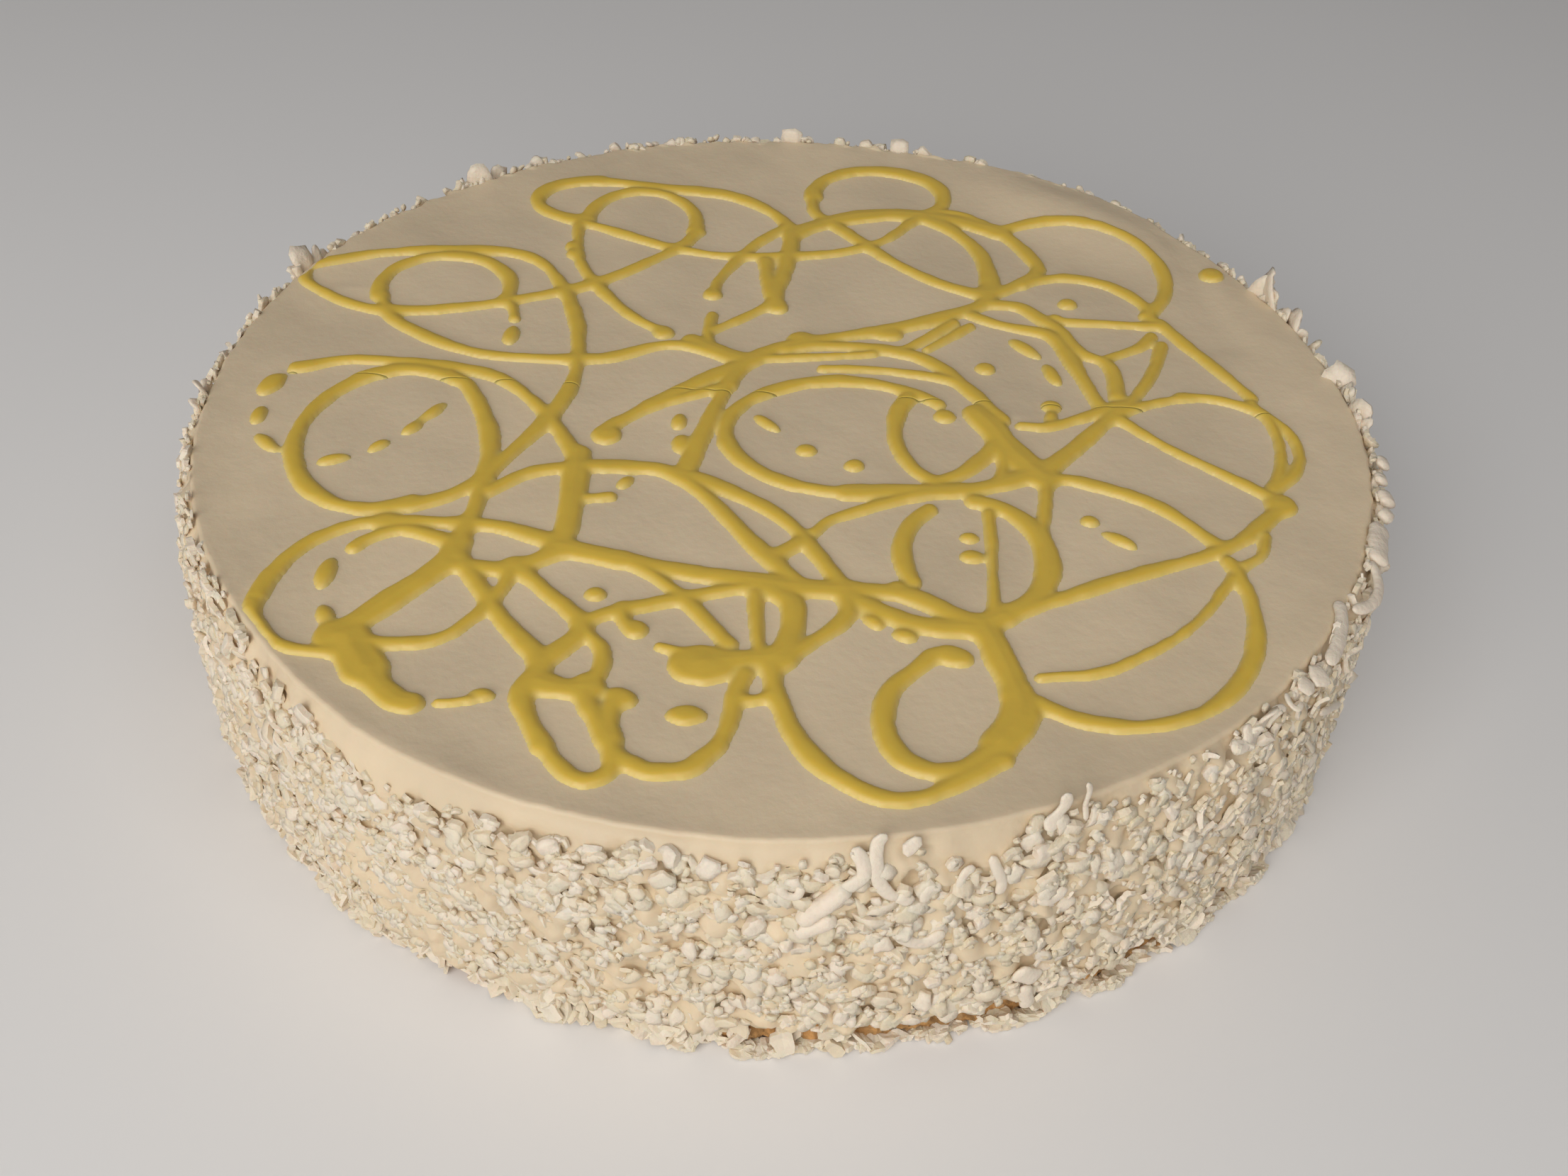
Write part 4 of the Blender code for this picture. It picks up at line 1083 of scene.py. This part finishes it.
class CAKE_OT_single_shavings(bpy.types.Operator):
    """Set the long rolled curl, the hooked curls, the rim curls and the shavings that stand over the rim"""

    bl_idname = "cake.single_shavings"
    bl_label = "Single shavings"

    def execute(self, context):
        for name, ribbons in RIBBONS.items():
            points, quads, fans, total = [], [], [], 0
            for width, thick, *pixels in ribbons:
                spots, squares, ends = ribbon_surface(width, thick, pixels, name == "rim_curls")
                points.append(keep_in_reach(spots[None])[0])
                quads.append(squares + total)
                fans.append(ends + total)
                total += len(spots)
            faces = (np.concatenate(quads), np.concatenate(fans))
            make_piece(name, np.concatenate(points), faces, shaving_material(), [CREAM_NODE],
                       np.full(total, SINGLE_SHADE))

        rng = np.random.default_rng(STANDING_SEED)
        degrees, length, width, tip = np.array(STANDING, float).T
        count = len(degrees)
        beside = rng.uniform(1.2, 2.8, count) * rng.choice([-1.0, 1.0], count)
        parts = []
        for shift, size, lower in ((0.0, 1.0, 0.0), (1.0, 0.62, 2.2), (-0.8, 0.5, 3.2)):
            local = slabs(rng, length * size, width * size, rng.uniform(0.6, 1.0, count),
                          rng.uniform(0.4, 1.8, count), *STANDING_GRID, 1.1)
            azimuth = degrees + shift * beside
            height = tip - lower - 0.5 * length * size
            radius = side_radius(np.minimum(height, CAKE_HEIGHT), azimuth) + 0.6
            part = on_side(local, azimuth, height, radius, rng.normal(0.5 * math.pi, 0.35, count),
                           rng.normal(0.15, 0.2, count), rng.normal(0.0, 0.5, count))
            part[..., 2] += (tip - lower - part[..., 2].max(1))[:, None]
            parts.append(part)
        shades = np.full(len(parts) * count, SINGLE_SHADE)
        make_shavings("standing_shavings", np.concatenate(parts), STANDING_GRID, CREAM_NODE, shades, True)
        return {"FINISHED"}


def place_camera():
    """Puts the camera at its eye, along its axes."""
    eye, right, up, back = (Vector(part) for part in camera_axes())
    data = bpy.data.cameras.new("camera")
    data.sensor_width = 36.0
    data.lens = FOCAL_PIXELS / FRAME_WIDTH * data.sensor_width
    data.clip_start = 0.01
    camera = bpy.data.objects.new("camera", data)
    camera.matrix_world = Matrix.Translation(eye) @ Matrix((right, up, back)).transposed().to_4x4()
    bpy.context.scene.collection.objects.link(camera)
    bpy.context.scene.camera = camera


def add_light(name, place, size, power, tint):
    """A square soft box that faces the cake."""
    data = bpy.data.lights.new(name, "AREA")
    data.size = size
    data.energy = power
    data.color = tint
    light = bpy.data.objects.new(name, data)
    light.location = place
    light.rotation_euler = (Vector((0.0, 0.0, 0.03)) - Vector(place)).to_track_quat("-Z", "Y").to_euler()
    bpy.context.scene.collection.objects.link(light)


class CAKE_OT_stage(bpy.types.Operator):
    """Set the pale floor, the soft lights and the camera"""

    bl_idname = "cake.stage"
    bl_label = "Stage"

    def execute(self, context):
        mesh = bpy.data.meshes.new("floor")
        corners = [(x * FLOOR_HALF, y * FLOOR_HALF, 0.0) for x, y in ((-1, -1), (1, -1), (1, 1), (-1, 1))]
        mesh.from_pydata(corners, [], [(0, 1, 2, 3)])
        paint = Paint("pale_floor", 0.7)
        paint.colour(paint.mix(paint.noise(3.0), FLOOR_DARK, FLOOR_LIGHT))
        mesh.materials.append(paint.material)
        floor = bpy.data.objects.new("floor", mesh)
        bpy.context.scene.collection.objects.link(floor)
        for light in LIGHTS:
            add_light(*light)
        world = bpy.data.worlds.new("studio")
        world.use_nodes = True
        sky = world.node_tree.nodes["Background"].inputs
        sky["Color"].default_value = (1.0, 0.99, 1.0, 1.0)
        sky["Strength"].default_value = WORLD_STRENGTH
        context.scene.world = world
        context.scene.view_settings.view_transform = "Standard"
        place_camera()
        return {"FINISHED"}


class CAKE_PT_panel(bpy.types.Panel):
    """Lists the cake's pieces in the sidebar"""

    bl_label = "Egg Liqueur Cake"
    bl_idname = "CAKE_PT_panel"
    bl_space_type = "VIEW_3D"
    bl_region_type = "UI"
    bl_category = "Cake"

    def draw(self, context):
        for name in CakeSettings.__annotations__:
            self.layout.prop(context.scene.egg_cake, name)
        for operator in OPERATORS:
            self.layout.operator(operator.bl_idname)


OPERATORS = (
    CAKE_OT_cream,
    CAKE_OT_sponge,
    CAKE_OT_drizzle,
    CAKE_OT_side_shavings,
    CAKE_OT_foot_shavings,
    CAKE_OT_single_shavings,
    CAKE_OT_stage,
)
CLASSES = (CakeSettings, *OPERATORS, CAKE_PT_panel)


def register():
    """Registers the classes and the scene's settings."""
    for cls in CLASSES:
        bpy.utils.register_class(cls)
    bpy.types.Scene.egg_cake = bpy.props.PointerProperty(type=CakeSettings)


def unregister():
    """Takes the settings and the classes away again."""
    del bpy.types.Scene.egg_cake
    for cls in reversed(CLASSES):
        bpy.utils.unregister_class(cls)


def main():
    register()
    bpy.ops.cake.cream()
    bpy.ops.cake.sponge()
    bpy.ops.cake.drizzle()
    bpy.ops.cake.side_shavings()
    bpy.ops.cake.foot_shavings()
    bpy.ops.cake.single_shavings()
    bpy.ops.cake.stage()


if __name__ == "__main__":
    main()
